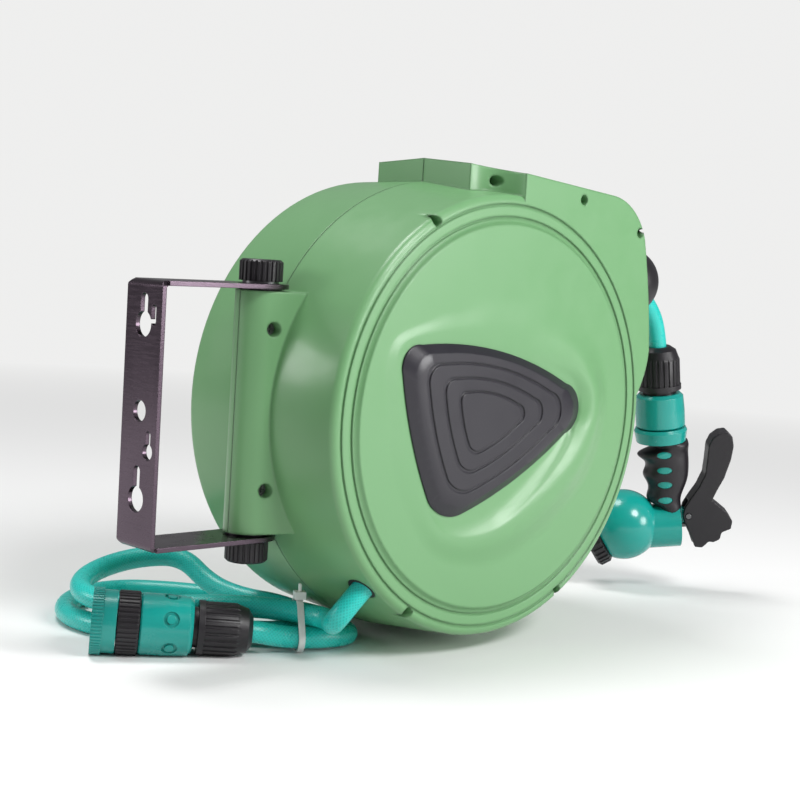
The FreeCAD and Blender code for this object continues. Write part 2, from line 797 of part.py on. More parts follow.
def pawl():
    y = -(spool_half_width + flange_thickness + 0.3)
    pitch = 360.0 / ratchet_teeth
    tooth = 2 * pitch
    root = ratchet_root_radius + 0.6
    pivot = polar(pawl_pivot_radius, pawl_pivot_angle, y)
    tip = [polar(root, tooth + 1.0, y), polar(root + 3.4, tooth + 5.5, y)]
    hub_low = polar(pawl_pivot_radius - 5.0, pawl_pivot_angle, y)
    hub_high = polar(pawl_pivot_radius + 1.0, pawl_pivot_angle - 4.0, y)
    back = polar(ratchet_tip_radius + 2.0, tooth + 0.6, y)
    arm = Part.Face(Part.makePolygon([tip[0], tip[1], hub_low, hub_high, back, tip[0]]))
    arm = arm.extrude(V(0, -ratchet_thickness + 0.6, 0))
    hub = cylinder(pawl_hub_radius, ratchet_thickness - 0.6, pivot, V(0, -1, 0))
    hole = cylinder(pawl_pin_radius + running_clearance, 20, pivot + V(0, 5, 0), V(0, -1, 0))
    return fused([outward(arm), hub]).cut(hole)


def pawl_boss():
    """Pillar from the front wall that carries the pawl's pin."""
    start = -(spool_half_width + flange_thickness + ratchet_thickness + 1.5)
    base = polar(pawl_pivot_radius, pawl_pivot_angle, start)
    return cylinder(5.0, half_depth - case_wall + start + 1, base, V(0, -1, 0)).cut(
        cylinder(pawl_pin_radius, 12, base, V(0, -1, 0)))


def pawl_pin():
    start = -(spool_half_width + flange_thickness + 0.4)
    return cylinder(pawl_pin_radius, ratchet_thickness + 12, polar(pawl_pivot_radius, pawl_pivot_angle, start),
                    V(0, -1, 0))


def add_spool():
    half = spool_half_width
    nodes["spool_barrel"] = [spool_barrel()]
    nodes["front_flange"] = [y_disc(spool_flange_radius, hub_radius, -half - flange_thickness, -half)]
    nodes["rear_flange"] = [y_disc(spool_flange_radius, hub_radius, half, half + flange_thickness)]
    nodes["hose_winding"] = [y_disc(winding_radius, barrel_radius + 0.1, -half + 0.3, half - 0.3)]
    ends = ((-half - 2, -half - 2 + hub_bush_length), (half + 2 - hub_bush_length, half + 2))
    inner = spindle_radius + running_clearance
    nodes["hub_bushes"] = [y_disc(hub_bush_radius, inner, a, b) for a, b in ends]
    nodes["spool_outlet_pipe"] = [outlet_pipe()]
    nodes["spindle_seals"] = [seal(-12), seal(12)]
    nodes["spring_cup"] = [spring_cup()]
    nodes["return_spring"] = [spring_strip()]
    nodes["ratchet_ring"] = [ratchet_ring()]
    nodes["water_spindle"] = [water_spindle()]
    start = half + flange_thickness + spring_cup_wall + 1.5
    arbor = y_disc(arbor_radius, spindle_radius, start, start + spring_width + 2)
    nodes["spring_arbor"] = [arbor.cut(spring_hook())]
    nodes["inlet_elbow"] = [inlet_elbow()]
    nodes["pawl"] = [pawl()]
    nodes["pawl_pin"] = [pawl_pin()]


# Outlet rollers and guide

def roller_specs():
    """Name, centre and direction of each roller round the hose line."""
    offset = roller_gap + roller_radius
    near = cage_x - 6.5
    far = cage_x + 6.5
    return [("left_roller", drum(near, -offset, cage_z), V(0, 0, 1)),
            ("right_roller", drum(near, offset, cage_z), V(0, 0, 1)),
            ("lower_roller", drum(far, 0, cage_z - offset), V(0, 1, 0)),
            ("upper_roller", drum(far, 0, cage_z + offset), V(0, 1, 0))]


def add_rollers():
    half = cage_size / 2
    low = drum(cage_x - cage_depth / 2, -half, cage_z - half)
    high = drum(cage_x + cage_depth / 2, half, cage_z + half)
    frame = block(low, high)
    opening = block(low + V(-1, cage_wall, cage_wall), high - V(-1, cage_wall, cage_wall))
    frame = frame.cut(opening)
    pins = []
    for name, centre, axis in roller_specs():
        reach = half - 0.5
        pin = cylinder(roller_pin_radius, 2 * reach, centre - axis * reach, axis)
        pins.append(pin)
        nodes[name] = [ring(roller_radius, roller_pin_radius + running_clearance, roller_length,
                            centre - axis * (roller_length / 2), axis)]
    nodes["roller_pins"] = pins
    nodes["roller_frame"] = [frame.cut(pins[0].multiFuse(pins[1:]))]


def hose_guide():
    """Trumpet that the hose leaves through and the stop ball rests against."""
    flange = guide_flange_radius
    reach = guide_reach
    back = -guide_depth
    barrel = guide_barrel_radius - 0.05
    profile = [(guide_bore_radius + 3, back), (barrel, back), (barrel, 0),
               (flange, 0), (flange, guide_flange_thickness), (flange - 4, guide_flange_thickness + 1.5),
               (15.5, reach - 3), (16.5, reach), (13.0, reach), (guide_bore_radius, reach - 9),
               (guide_bore_radius, back + 6)]
    return stood(lathe(profile), drum(mouth_face, 0, mouth_z), V(1, 0, 0))


def outlet_points():
    return [drum(x, 0, z) for x, z in outlet_route]


def add_outlet():
    nodes["hose_guide"] = [hose_guide()]
    edges, radii = rounded_route(outlet_points())
    hose = tube(edges, hose_radius)
    tube_report("outlet_hose", hose, edges, hose_radius, radii)
    nodes["outlet_hose"] = [hose]
    ball = Part.makeSphere(ball_radius, drum(ball_place[0], 0, ball_place[1]))
    nodes["stop_ball"] = [largest(ball.cut(hose))]
    start = drum(outlet_lead_start[0], 0, outlet_lead_start[1])
    end = outlet_points()[0]
    nodes["outlet_lead"] = [cylinder(hose_radius, (end - start).Length, start, end - start)]


# Hose connectors, each made about Z with the hose end at zero and the mouth above

def hose_nut():
    ribs = ribbed(nut_radius, 0.9, nut_ribs, nut_length - 4)
    hull = lathe([(hose_radius, 0), (10.0, 0), (14.2, 3.0), (16.2, 9.0), (nut_radius + 1, 13.0),
                  (nut_radius + 1, nut_length - 4), (hose_radius, nut_length - 4)])
    collar = ring(nut_radius + 0.6, hose_radius, 4, V(0, 0, nut_length - 4), V(0, 0, 1))
    bore = cylinder(hose_radius + 0.25, nut_length, V(0, 0, 0), V(0, 0, 1))
    return fused([ribs.common(hull), collar]).cut(bore)


def connector_core(length):
    """Barbed tube with the flange that the nut closes on and the seat for the plug."""
    end = nut_length + sleeve_gap + length
    profile = [(barb_radius - 1.2, nut_length - 14), (barb_radius, nut_length - 14),
               (barb_radius, nut_length - 2), (hose_radius - 0.1, nut_length - 2),
               (hose_radius - 0.1, nut_length), (core_radius, nut_length), (core_radius, end),
               (core_bore_radius, end), (core_bore_radius, nut_length + 12),
               (barb_radius - 1.2, nut_length + 10)]
    return lathe(profile)


def release_sleeve(length, dimples):
    start = nut_length + sleeve_gap
    inner = core_radius + fit_clearance
    profile = [(inner, start), (16.5, start), (sleeve_radius - 0.8, start + 2.5),
               (sleeve_radius, start + length * 0.5), (sleeve_radius, start + length - 1.5),
               (sleeve_radius - 1.0, start + length - 0.4), (inner, start + length - 0.4)]
    sleeve = lathe(profile)
    for index in range(dimples):
        angle = 2 * math.pi * index / max(dimples, 1)
        aim = V(math.cos(angle), math.sin(angle), 0)
        centre = V(0, 0, start + length * 0.42) + aim * (sleeve_radius - 1.6)
        pit = ring(dimple_radius, dimple_radius - 2.0, 4, centre, aim)
        sleeve = sleeve.cut(pit)
    return sleeve


def front_ring(length):
    """Black grip ring fixed on the core in front of the sleeve."""
    start = nut_length + sleeve_gap + length
    ribs = ribbed(grip_ring_radius, 0.7, 40, grip_ring_length)
    hull = lathe([(core_bore_radius, 0), (grip_ring_radius - 1, 0), (grip_ring_radius + 1, 2),
                  (grip_ring_radius + 1, grip_ring_length - 1.5), (grip_ring_radius - 1, grip_ring_length),
                  (core_bore_radius, grip_ring_length)])
    body = ribs.common(hull)
    body.translate(V(0, 0, start))
    return body


def tap_adapter(start):
    """Plug that snaps into the connector, with the threaded socket for a tap and its washer."""
    low = start + 0.4
    plug = lathe([(5.0, low - adapter_plug_length), (nipple_radius, low - adapter_plug_length),
                  (nipple_radius, low), (5.0, low)])
    wall = lathe([(5.0, low), (adapter_radius - 1.2, low), (adapter_radius - 1.2, low + adapter_length - 7),
                  (adapter_thread_radius, low + adapter_length - 7), (5.0, low + adapter_length - 7)])
    rim = ribbed(adapter_radius, 0.5, 60, 7.0)
    rim.translate(V(0, 0, low + adapter_length - 7))
    seat = low + adapter_length - adapter_thread_length
    socket = cylinder(adapter_thread_radius, adapter_thread_length, V(0, 0, seat), V(0, 0, 1))
    room = adapter_washer_room
    undercut = cylinder(adapter_washer_radius, room, V(0, 0, seat - room), V(0, 0, 1))
    way = cylinder(5.0, seat - low + adapter_plug_length, V(0, 0, low - adapter_plug_length), V(0, 0, 1))
    return fused([plug, wall, rim]).cut(socket.multiFuse([undercut, way]))


def supply_axis():
    turn = math.radians(supply_heading)
    length = nut_length + sleeve_gap + supply_sleeve_length + grip_ring_length + adapter_length
    rise = supply_mouth_rise / length
    return V(math.cos(turn), math.sin(turn), rise).normalize()


def add_supply_connector():
    base = drum(*supply_nut)
    aim = supply_axis()
    nodes["supply_hose_nut"] = [stood(hose_nut(), base, aim)]
    core = connector_core(supply_sleeve_length)
    nodes["supply_connector"] = [stood(core, base, aim)]
    nodes["supply_sleeve"] = [stood(release_sleeve(supply_sleeve_length, 6), base, aim, 20)]
    nodes["supply_grip_ring"] = [stood(front_ring(supply_sleeve_length), base, aim)]
    start = nut_length + sleeve_gap + supply_sleeve_length + grip_ring_length
    nodes["tap_adapter"] = [stood(tap_adapter(start), base, aim)]
    low = start + 0.4 + adapter_length - adapter_thread_length - adapter_washer_room
    washer = ring(adapter_washer_radius - 0.2, 6.0, adapter_washer_room, V(0, 0, low), V(0, 0, 1))
    nodes["tap_washer"] = [stood(washer, base, aim)]


# Supply hose

def supply_place(s, q, z):
    """A floor place given along and across the connector from the nut."""
    turn = math.radians(supply_heading)
    base = V(supply_nut[0], supply_nut[1], 0)
    along = V(math.cos(turn), math.sin(turn), 0)
    across = V(math.sin(turn), -math.cos(turn), 0)
    flat = base + along * s + across * q
    return drum(flat.x, flat.y, z)


def supply_heading_vector(degrees, climb):
    a = math.radians(degrees)
    flat = supply_place(math.cos(a), math.sin(a), 0) - supply_place(0, 0, 0)
    return V(flat.x, flat.y, climb).normalize()


hose_floor = floor_z + hose_radius
layer_rise = 2 * hose_radius + 0.8
# Places down the supply hose: along and across the connector, height over the floor layer,
# heading in degrees and climb
supply_places = [(-31, 22, layer_rise + 2.6, -2, 0.0), (12, 32, layer_rise + 2.4, 2, -0.01),
                 (72, 33, layer_rise + 0.8, 3, 0.01), (112, 74, layer_rise + 5, 92, 0.1),
                 (57, 122, layer_rise + 17, 183, 0.05), (9, 93, layer_rise - 3, 218, -0.14),
                 (-41, 48, 5, 266, -0.25), (-28, 28.2, 2.6, -4, 0.0),
                 (70, 33, 0, 3, 0.0), (122, 92, 0, 90, 0.0), (70, 152, 0, 184, 0.0),
                 (-8, 122, 0, 220, 0.0), (-43, 75, 0, 239, 0.0), (-68, 34, 0, 268, 0.0),
                 (-33, 12.2, 2.6, -14, 0.0)]


def supply_stations():
    """Points and directions of the supply hose from the gland to the nut."""
    direction = V(*exit_direction).normalize()
    gland = drum(*exit_place)
    stations = [(gland - direction * 12, direction), (gland + direction * 10, direction)]
    for s, q, rise, heading, climb in supply_places:
        stations.append((supply_place(s, q, hose_floor + rise), supply_heading_vector(heading, climb)))
    nut = drum(*supply_nut)
    aim = supply_axis()
    stations.append((nut - aim * 6, aim))
    stations.append((nut + aim * (nut_length - 18), aim))
    return stations


def supply_edges():
    edges = []
    radii = []
    stations = supply_stations()
    for (p1, t1), (p2, t2) in zip(stations, stations[1:]):
        pair, sizes = biarc(p1, t1, p2, t2)
        edges += pair
        radii += sizes
    return edges, radii


def least_self_gap(edges, diameter):
    """Smallest gap between stretches of one tube that are well apart along it."""
    points = []
    travelled = 0.0
    for edge in edges:
        count = max(3, int(edge.Length / 3))
        for step in range(count):
            share = step / count
            first, last = edge.FirstParameter, edge.LastParameter
            points.append((travelled + share * edge.Length, edge.valueAt(first + (last - first) * share)))
        travelled += edge.Length
    gap = 1e9
    for i, (s1, p1) in enumerate(points):
        for s2, p2 in points[i + 1:]:
            if s2 - s1 > 3 * diameter:
                gap = min(gap, (p2 - p1).Length - diameter)
    return gap


def chained(edges):
    """The same edges, each turned to run from the end of the one before."""
    turned = []
    place = None
    for edge in edges:
        first = edge.valueAt(edge.FirstParameter)
        last = edge.valueAt(edge.LastParameter)
        if place is not None and (last - place).Length < (first - place).Length:
            middle = edge.valueAt((edge.FirstParameter + edge.LastParameter) / 2)
            if isinstance(edge.Curve, Part.Line):
                edge = Part.LineSegment(last, first).toShape()
            else:
                edge = Part.Arc(last, middle, first).toShape()
            last = first
        turned.append(edge)
        place = last
    return turned


def inlet_lead_edges():
    aim = V(math.cos(math.radians(barb_angle)), 0, math.sin(math.radians(barb_angle)))
    start = drum(0, elbow_y + 3, 0) + aim * (elbow_radius + 1.5)
    direction = V(*exit_direction).normalize()
    end = drum(*exit_place) - direction * 12
    return biarc(start, aim, end, direction)


def cable_tie():
    """Closed band round three strands, with its head and cut tail."""
    centre = supply_place(-31.0, 20.5, hose_floor + 8.6)
    along = supply_heading_vector(-8, 0.0)
    across = V(0, 0, 1).cross(along).normalize()
    up = along.cross(across)
    reach = hose_radius + 1.2

    def loop(extra):
        r = reach + extra
        low = -6.0
        high = layer_rise - 5.4
        wide = 8.4
        lean = math.atan2(wide, high - low)
        side = (wide + r * math.cos(lean), low + r * math.sin(lean))
        top = (r * math.cos(lean), high + r * math.sin(lean))
        bend = (wide + r * math.cos(math.pi / 5), low - r * math.sin(math.pi / 5))
        corners = [((-wide, low - r), None), ((wide, low - r), bend), (side, None), (top, (0, high + r)),
                   ((-top[0], top[1]), None), ((-side[0], side[1]), (-bend[0], bend[1]))]
        place = lambda a, b: centre - along * (tie_width / 2) + across * a + up * b
        return Part.Face(outline_wire(corners, place)).extrude(along * tie_width)

    band = outward(loop(tie_thickness)).cut(outward(loop(0)))
    head_seat = centre + up * (layer_rise - 5.4 + reach + tie_thickness - 0.9) + across * 3.5
    head = Part.makeBox(7.5, 6.5, 5.0, V(-3.75, -3.25, 0))
    tail = Part.makeBox(1.2, 4.2, 6.0, V(-0.6, -2.1, 4.0))
    turn = FreeCAD.Rotation(along, across, up, "XYZ")
    for piece in (head, tail):
        piece.Placement = FreeCAD.Placement(head_seat, turn)
    return fused([band, outward(head), outward(tail)])


def add_supply_hose():
    edges, radii = supply_edges()
    edges = chained(edges)
    hose = tube(edges, hose_radius)
    tube_report("supply_hose", hose, edges, hose_radius, radii)
    print("supply_hose least self gap %.2f" % least_self_gap(edges, 2 * hose_radius))
    nodes["supply_hose"] = [hose]
    lead, lead_radii = inlet_lead_edges()
    lead = chained(lead)
    inner = tube(lead, hose_radius)
    tube_report("inlet_lead", inner, lead, hose_radius, lead_radii)
    nodes["inlet_lead"] = [inner.cut(nodes["inlet_elbow"][0])]
    direction = V(*exit_direction).normalize()
    base = drum(*exit_place) - direction * 13
    inside = drum_half(case_radius, front_edge_radius, half_depth, -1)
    sleeve = ring(hose_radius + 2.2, hose_radius + 0.1, 22, base, direction)
    nodes["inlet_gland"] = [largest(sleeve.common(inside))]
    nodes["cable_tie"] = [cable_tie()]


# Spray gun, made about its own Z with the hose nut's top at zero

def gun_place(shape):
    turn = FreeCAD.Rotation(V(0, 1, 0), -gun_tilt).multiply(FreeCAD.Rotation(V(0, 0, 1), gun_yaw))
    placed = shape.copy()
    placed.Placement = FreeCAD.Placement(drum(gun_top[0], 0, gun_top[1]), turn).multiply(shape.Placement)
    return placed


def down(shape):
    """Turn a shape made upwards about Z so that it runs down from zero."""
    turned = shape.copy()
    turned.rotate(V(0, 0, 0), V(1, 0, 0), 180)
    return turned


# Height down the grip, front and back of its side outline, and its width
grip_sections = [(-78.2, 19.0, -21.5, 32.0), (-87.0, 18.0, -22.0, 31.0), (-93.0, 15.5, -22.0, 30.0),
                 (-99.0, 13.5, -22.0, 29.5), (-105.5, 15.5, -21.6, 29.0), (-111.5, 13.0, -20.5, 28.0),
                 (-119.0, 11.8, -17.6, 27.0), (-129.0, 11.0, -14.5, 25.5), (-140.0, 11.0, -12.6, 24.5),
                 (-150.0, 9.0, -11.0, 23.0)]
grip_oval_heights = [-87.5, -100.4, -112.8, -126.0, -138.5]
grip_oval_size = (6.0, 3.0)


def grip_body(inset):
    wires = []
    for z, front, back, width in grip_sections:
        a = (front - back) / 2 - inset
        b = width / 2 - inset
        middle = (front + back) / 2
        angles = [2 * math.pi * k / 12 for k in range(12)]
        oval = Part.BSplineCurve()
        points = [V(middle + a * math.cos(t), b * math.sin(t), z) for t in angles]
        oval.interpolate(points, PeriodicFlag=True)
        wires.append(Part.Wire(oval.toShape()))
    return outward(Part.makeLoft(wires, True, False))


def grip_ovals(start, end):
    """Oval studs on both flanks, reaching from start to end across the grip."""
    studs = []
    for z in grip_oval_heights:
        for side in (-1, 1):
            oval = Part.Ellipse(V(0, 0, 0), grip_oval_size[0], grip_oval_size[1])
            face = Part.Face(Part.Wire(oval.toShape()))
            stud = face.extrude(V(0, 0, end - start))
            turn = FreeCAD.Rotation(V(1, 0, 0), -90 * side)
            stud.Placement = FreeCAD.Placement(V(-0.5, side * start, z), turn)
            studs.append(stud)
    return studs


def gun_parts():
    collar_start = nut_length + sleeve_gap + sleeve_length
    plug = lathe([(4.0, plug_length - collar_start), (nipple_radius, plug_length - collar_start),
                  (nipple_radius, -collar_start), (4.0, -collar_start)])
    collar = lathe([(4.0, -collar_start - 0.4), (collar_radius - 1.2, -collar_start - 0.4),
                    (collar_radius, -collar_start - 3), (collar_radius - 1.4, -collar_start - collar_length),
                    (4.0, -collar_start - collar_length)])
    neck_top = cylinder(nipple_radius, 1.5, V(0, 0, -collar_start - 0.9), V(0, 0, 1)).cut(
        cylinder(4.0, 1.5, V(0, 0, -collar_start - 0.9), V(0, 0, 1)))
    nodes["gun_inlet"] = [gun_place(fused([plug, collar, neck_top]))]

    core = grip_body(grip_wall)
    outer = grip_body(0)
    ovals = grip_ovals(4.0, 20.0)
    studs = [stud.common(grip_body(0.5)) for stud in ovals]
    sleeve = outer.cut(core).cut(ovals[0].multiFuse(ovals[1:]))
    stem = cylinder(stem_radius, bulb_x + 12.5, V(-12.5, 0, stem_z), V(1, 0, 0))
    aim = V(math.cos(math.radians(bulb_tilt)), 0, -math.sin(math.radians(bulb_tilt)))
    bulb_centre = V(bulb_x, 0, stem_z + 3)
    bulb = Part.makeSphere(bulb_radius, bulb_centre)
    face_at = bulb_radius * 0.72
    cap = stood(block(V(-40, -40, 0), V(40, 40, 40)), bulb_centre + aim * face_at, aim)
    lug = prism([((-10, -8), None), ((-10, 8), None), ((2.5 + trigger_pin[0] + 12, 8), None),
                 ((trigger_pin[0], 4.6), (trigger_pin[0] - 4.6, 0)), ((trigger_pin[0], -4.6), None)],
                lambda x, z: V(x, -lug_thickness / 2, trigger_pin[1] + z), V(0, lug_thickness, 0))
    pin_hole = cylinder(trigger_pin_radius, 40, V(trigger_pin[0], -20, trigger_pin[1]), V(0, 1, 0))
    bore = cylinder(valve_bore_radius, 32, V(-14, 0, stem_z), V(1, 0, 0)).fuse(
        cylinder(valve_rod_radius + 0.5, 20, V(-30, 0, stem_z), V(1, 0, 0)))
    body = fused([core, stem, bulb, outward(lug)] + studs)
    body = body.cut(cap).cut(pin_hole).cut(bore)
    spigot = cylinder(spigot_radius, spigot_length + 1, V(0, 0, -1), V(0, 0, 1))
    body = body.fuse(stood(spigot, bulb_centre + aim * face_at, aim))
    nodes["gun_body"] = [gun_place(largest(body))]
    sleeve = largest(sleeve.cut(fused([stem, bulb, outward(lug)])))
    nodes["gun_grip"] = [gun_place(sleeve)]

    ribs = ribbed(dial_radius, 1.2, dial_ribs, dial_length)
    hull = lathe([(0, 0), (dial_radius - 2, 0), (dial_radius + 1, 3), (dial_radius + 1, dial_length - 3),
                  (dial_radius - 2.5, dial_length), (dial_radius - 5, dial_length),
                  (dial_radius - 6, dial_length - 2), (0, dial_length - 2)])
    dial = ribs.common(hull)
    for index in range(8):
        angle = 2 * math.pi * index / 8
        hole = cylinder(1.6, 6, V(11 * math.cos(angle), 11 * math.sin(angle), dial_length - 4), V(0, 0, 1))
        dial = dial.cut(hole)
    dial = dial.cut(cylinder(spigot_radius + running_clearance, spigot_length + 1, V(0, 0, -1), V(0, 0, 1)))
    nodes["nozzle_dial"] = [gun_place(stood(dial, bulb_centre + aim * (face_at + 0.4), aim))]
    add_trigger()


# Side outline of the trigger, x towards the nozzle
trigger_outline = [(-22.0, -126.5), (-28.5, -118.0), (-34.0, -107.5), (-36.0, -95.0), (-37.5, -83.5),
                   (-41.0, -77.0), (-47.0, -73.0), (-53.0, -72.5), (-57.0, -77.0), (-57.8, -85.0),
                   (-55.5, -96.0), (-49.5, -111.5), (-43.8, -121.0), (-39.3, -129.5), (-45.5, -135.0),
                   (-52.0, -141.2), (-55.5, -148.5), (-54.0, -155.0), (-46.5, -157.5), (-44.5, -163.5),
                   (-39.5, -165.5), (-35.5, -164.8), (-30.0, -169.5), (-24.0, -168.5), (-21.5, -160.0),
                   (-15.8, -146.0), (-15.2, -140.0), (-17.0, -134.0)]


def add_trigger():
    half = trigger_thickness / 2
    points = [V(x, -half, z) for x, z in trigger_outline]
    plate = Part.Face(Part.makePolygon(points + [points[0]])).extrude(V(0, trigger_thickness, 0))
    px, pz = trigger_pin
    gap = lug_thickness / 2 + 0.5
    slot = block(V(px - 6.5, -gap, pz - 30), V(px + 20, gap, pz + 12))
    pin_hole = cylinder(trigger_pin_radius + running_clearance, 40, V(px, -20, pz), V(0, 1, 0))
    ways = []
    for share in (0.0, 0.5, 1.0):
        rod_way = block(V(-60, -3.6, stem_z - 3.8), V(0, 3.6, stem_z + 3.8))
        nut_way = block(V(-60, -6.2, stem_z - 6.4), V(px - 11, 6.2, stem_z + 6.4))
        for way in (rod_way, nut_way):
            way.rotate(V(px, 0, pz), V(0, 1, 0), -share * trigger_swing)
            ways.append(way)
    trigger = outward(plate).cut(slot.multiFuse([pin_hole] + ways))
    nodes["trigger"] = [gun_place(largest(trigger))]
    pin = cylinder(trigger_pin_radius, trigger_thickness + 1.0, V(px, -half - 0.5, pz), V(0, 1, 0))
    nodes["trigger_pin"] = [gun_place(pin)]
    rod = cylinder(valve_rod_radius, valve_rod_length, V(px - 19, 0, stem_z), V(1, 0, 0))
    nut = cylinder(valve_nut_radius, 3.5, V(px - 17, 0, stem_z), V(1, 0, 0))
    seat = cylinder(valve_bore_radius - 0.5, 2.5, V(px + 15, 0, stem_z), V(1, 0, 0))
    nodes["valve_rod"] = [gun_place(fused([rod, nut, seat]))]


def add_gun():
    nodes["outlet_hose_nut"] = [gun_place(down(hose_nut()))]
    nodes["outlet_connector"] = [gun_place(down(connector_core(sleeve_length)))]
    nodes["outlet_sleeve"] = [gun_place(down(release_sleeve(sleeve_length, 0)))]
    gun_parts()


def main():
    nodes["front_case"] = [case_shell(-1)]
    nodes["rear_case"] = [case_shell(1)]
    nodes["badge_plate"] = [badge_plate()]
    add_screws()
    nodes["wall_bracket"] = [wall_bracket()]
    add_pivot()
    add_spool()
    add_rollers()
    add_outlet()
    add_supply_connector()
    add_supply_hose()
    add_gun()
    for name, solids in nodes.items():
        shape = solids[0] if len(solids) == 1 else Part.makeCompound(solids)
        shape.exportStep("parts/" + name + ".step")
        box = shape.BoundBox
        print("%-20s solids %d valid %s volume %.0f  x %.1f %.1f  y %.1f %.1f  z %.1f %.1f" % (
            name, len(shape.Solids), shape.isValid(), shape.Volume, box.XMin, box.XMax, box.YMin, box.YMax,
            box.ZMin, box.ZMax))


main()
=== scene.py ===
import bmesh
import bpy
import json
import math
from mathutils import Matrix, Vector


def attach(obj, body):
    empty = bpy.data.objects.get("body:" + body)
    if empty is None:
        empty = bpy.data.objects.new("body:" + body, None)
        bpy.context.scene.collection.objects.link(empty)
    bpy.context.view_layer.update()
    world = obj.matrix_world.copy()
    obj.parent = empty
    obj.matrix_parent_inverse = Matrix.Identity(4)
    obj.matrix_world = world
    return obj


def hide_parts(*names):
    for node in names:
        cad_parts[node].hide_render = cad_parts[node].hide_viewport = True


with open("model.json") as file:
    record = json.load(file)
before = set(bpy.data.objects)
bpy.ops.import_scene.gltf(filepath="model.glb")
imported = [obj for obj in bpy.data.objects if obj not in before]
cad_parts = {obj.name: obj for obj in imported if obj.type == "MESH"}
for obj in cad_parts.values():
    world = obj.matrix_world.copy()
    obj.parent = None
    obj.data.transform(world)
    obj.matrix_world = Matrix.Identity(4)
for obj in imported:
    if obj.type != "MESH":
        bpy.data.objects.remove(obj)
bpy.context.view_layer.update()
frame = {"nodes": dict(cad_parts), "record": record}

# Everything is in metres, in the frame of the wall plate.
drum_centre = Vector((0.240, 0.0, 0.0))
floor_height = -0.160
hose_radius = 0.0072
hose_sides = 28                 # corners round a hose
hose_step = 0.003               # length of a hose's rings

# Colours as painted or moulded, linear
green = (0.155, 0.345, 0.152)
teal = (0.006, 0.300, 0.262)
hose_teal = (0.004, 0.500, 0.430)
black = (0.010, 0.008, 0.011)
badge_black = (0.015, 0.013, 0.020)
plate_dark = (0.105, 0.078, 0.100)
pale = (0.86, 0.86, 0.855)

# The badge's outline as seen from the front, millimetres from the drum's centre:
# where each arc starts, and its middle point
badge_arcs = [((-80, 48.8), (-10, 45)), ((60, 22.4), (75, 6)), ((62, -12.5), (15, -41.5)),
              ((-34, -61.5), (-52, -62)), ((-66, -52.5), (-84, -12)), ((-95.5, 30), (-93, 44))]
badge_middle = (-20.0, 2.0)
panel_edge = 0.1283             # radius of the flat panel's rim
panel_front = -0.0722           # y of the flat panel
panel_turns = 360               # columns of the panel's mesh, one a degree
panel_parts = (12, 14, 22, 12)  # rings of the scoop, the lip to the crest, the far slope, the flat
pocket_rise = 0.8               # rise of the panel where it meets the badge, mm
pocket_inset = 2.0              # how far the panel runs in under the badge, mm
scoop_curve = 2.6               # how late the scoop's wall turns up, 1 is a straight slope
skirt_depth = 1.4               # rim of the panel, tucked into the shell, mm

# The hill beside the badge, by direction from the badge's middle (degrees, mm):
# distance and rise of the scoop's edge, distance and rise of the crest, distance of the foot
hill_rows = [
    (-180, 66, 0.8, 70, 0.8, 84), (-140, 69, 0.8, 73, 0.8, 88), (-128, 74, 1.0, 77, 1.0, 92),
    (-118, 80, 1.6, 83, 1.7, 97), (-108, 81.5, 2.3, 84.5, 2.5, 100), (-92, 79, 3.4, 82.5, 3.7, 102),
    (-80, 77.5, 4.2, 82, 4.6, 104), (-68, 76, 4.8, 81, 5.3, 106), (-54, 75.5, 5.2, 83, 6.0, 109),
    (-42, 77, 5.3, 86.5, 6.6, 113), (-30, 80, 5.1, 93, 7.0, 119), (-16, 87, 4.4, 102, 7.1, 126),
    (-3, 93, 3.0, 107.5, 6.9, 129), (4, 98, 2.4, 109, 6.6, 130), (13, 94, 2.0, 105, 5.6, 128),
    (25, 76, 1.6, 96, 3.6, 122), (38, 62, 1.2, 78, 2.0, 108), (52, 54, 0.8, 70, 1.2, 98),
    (76, 48, 0.8, 58, 0.8, 80), (110, 53, 0.8, 57, 0.8, 74), (133, 70, 0.8, 73, 0.8, 84),
    (150, 88.5, 0.8, 92, 0.8, 100), (160, 81, 0.8, 85, 0.8, 96)]


# Camera: azimuth, elevation and roll in degrees, and the eye seen from the drum's centre
view_angles = (-43.73, 5.53, 3.59)
view_offset = (-0.018894, 0.003807)
view_distance = 1.116861
view_lens = 72.0


# Node groups

def new_group(name, inputs, outputs):
    """A shader group with named sockets; inputs are (name, kind, value)."""
    tree = bpy.data.node_groups.new(name, "ShaderNodeTree")
    for socket_name, kind, value in inputs:
        socket = tree.interface.new_socket(socket_name, in_out="INPUT", socket_type=kind)
        if value is not None:
            socket.default_value = value
    for socket_name, kind in outputs:
        tree.interface.new_socket(socket_name, in_out="OUTPUT", socket_type=kind)
    entry = tree.nodes.new("NodeGroupInput")
    leave = tree.nodes.new("NodeGroupOutput")
    return tree, entry, leave


def math_node(tree, operation, first, second=None, clamp=False):
    """A Math node's output; each input is a number or another node's output."""
    node = tree.nodes.new("ShaderNodeMath")
    node.operation = operation
    node.use_clamp = clamp
    for socket, value in zip(node.inputs, (first, second)):
        if value is None:
            continue
        if isinstance(value, (int, float)):
            socket.default_value = value
        else:
            tree.links.new(value, socket)
    return node.outputs[0]


def noise(tree, vector, scale, detail=3.0, roughness=0.5):
    node = tree.nodes.new("ShaderNodeTexNoise")
    node.inputs["Scale"].default_value = scale
    node.inputs["Detail"].default_value = detail
    node.inputs["Roughness"].default_value = roughness
    tree.links.new(vector, node.inputs["Vector"])
    return node.outputs["Fac"]


def map_range(tree, value, low, high, to_low, to_high):
    node = tree.nodes.new("ShaderNodeMapRange")
    tree.links.new(value, node.inputs["Value"])
    for name, number in (("From Min", low), ("From Max", high), ("To Min", to_low), ("To Max", to_high)):
        node.inputs[name].default_value = number
    return node.outputs["Result"]


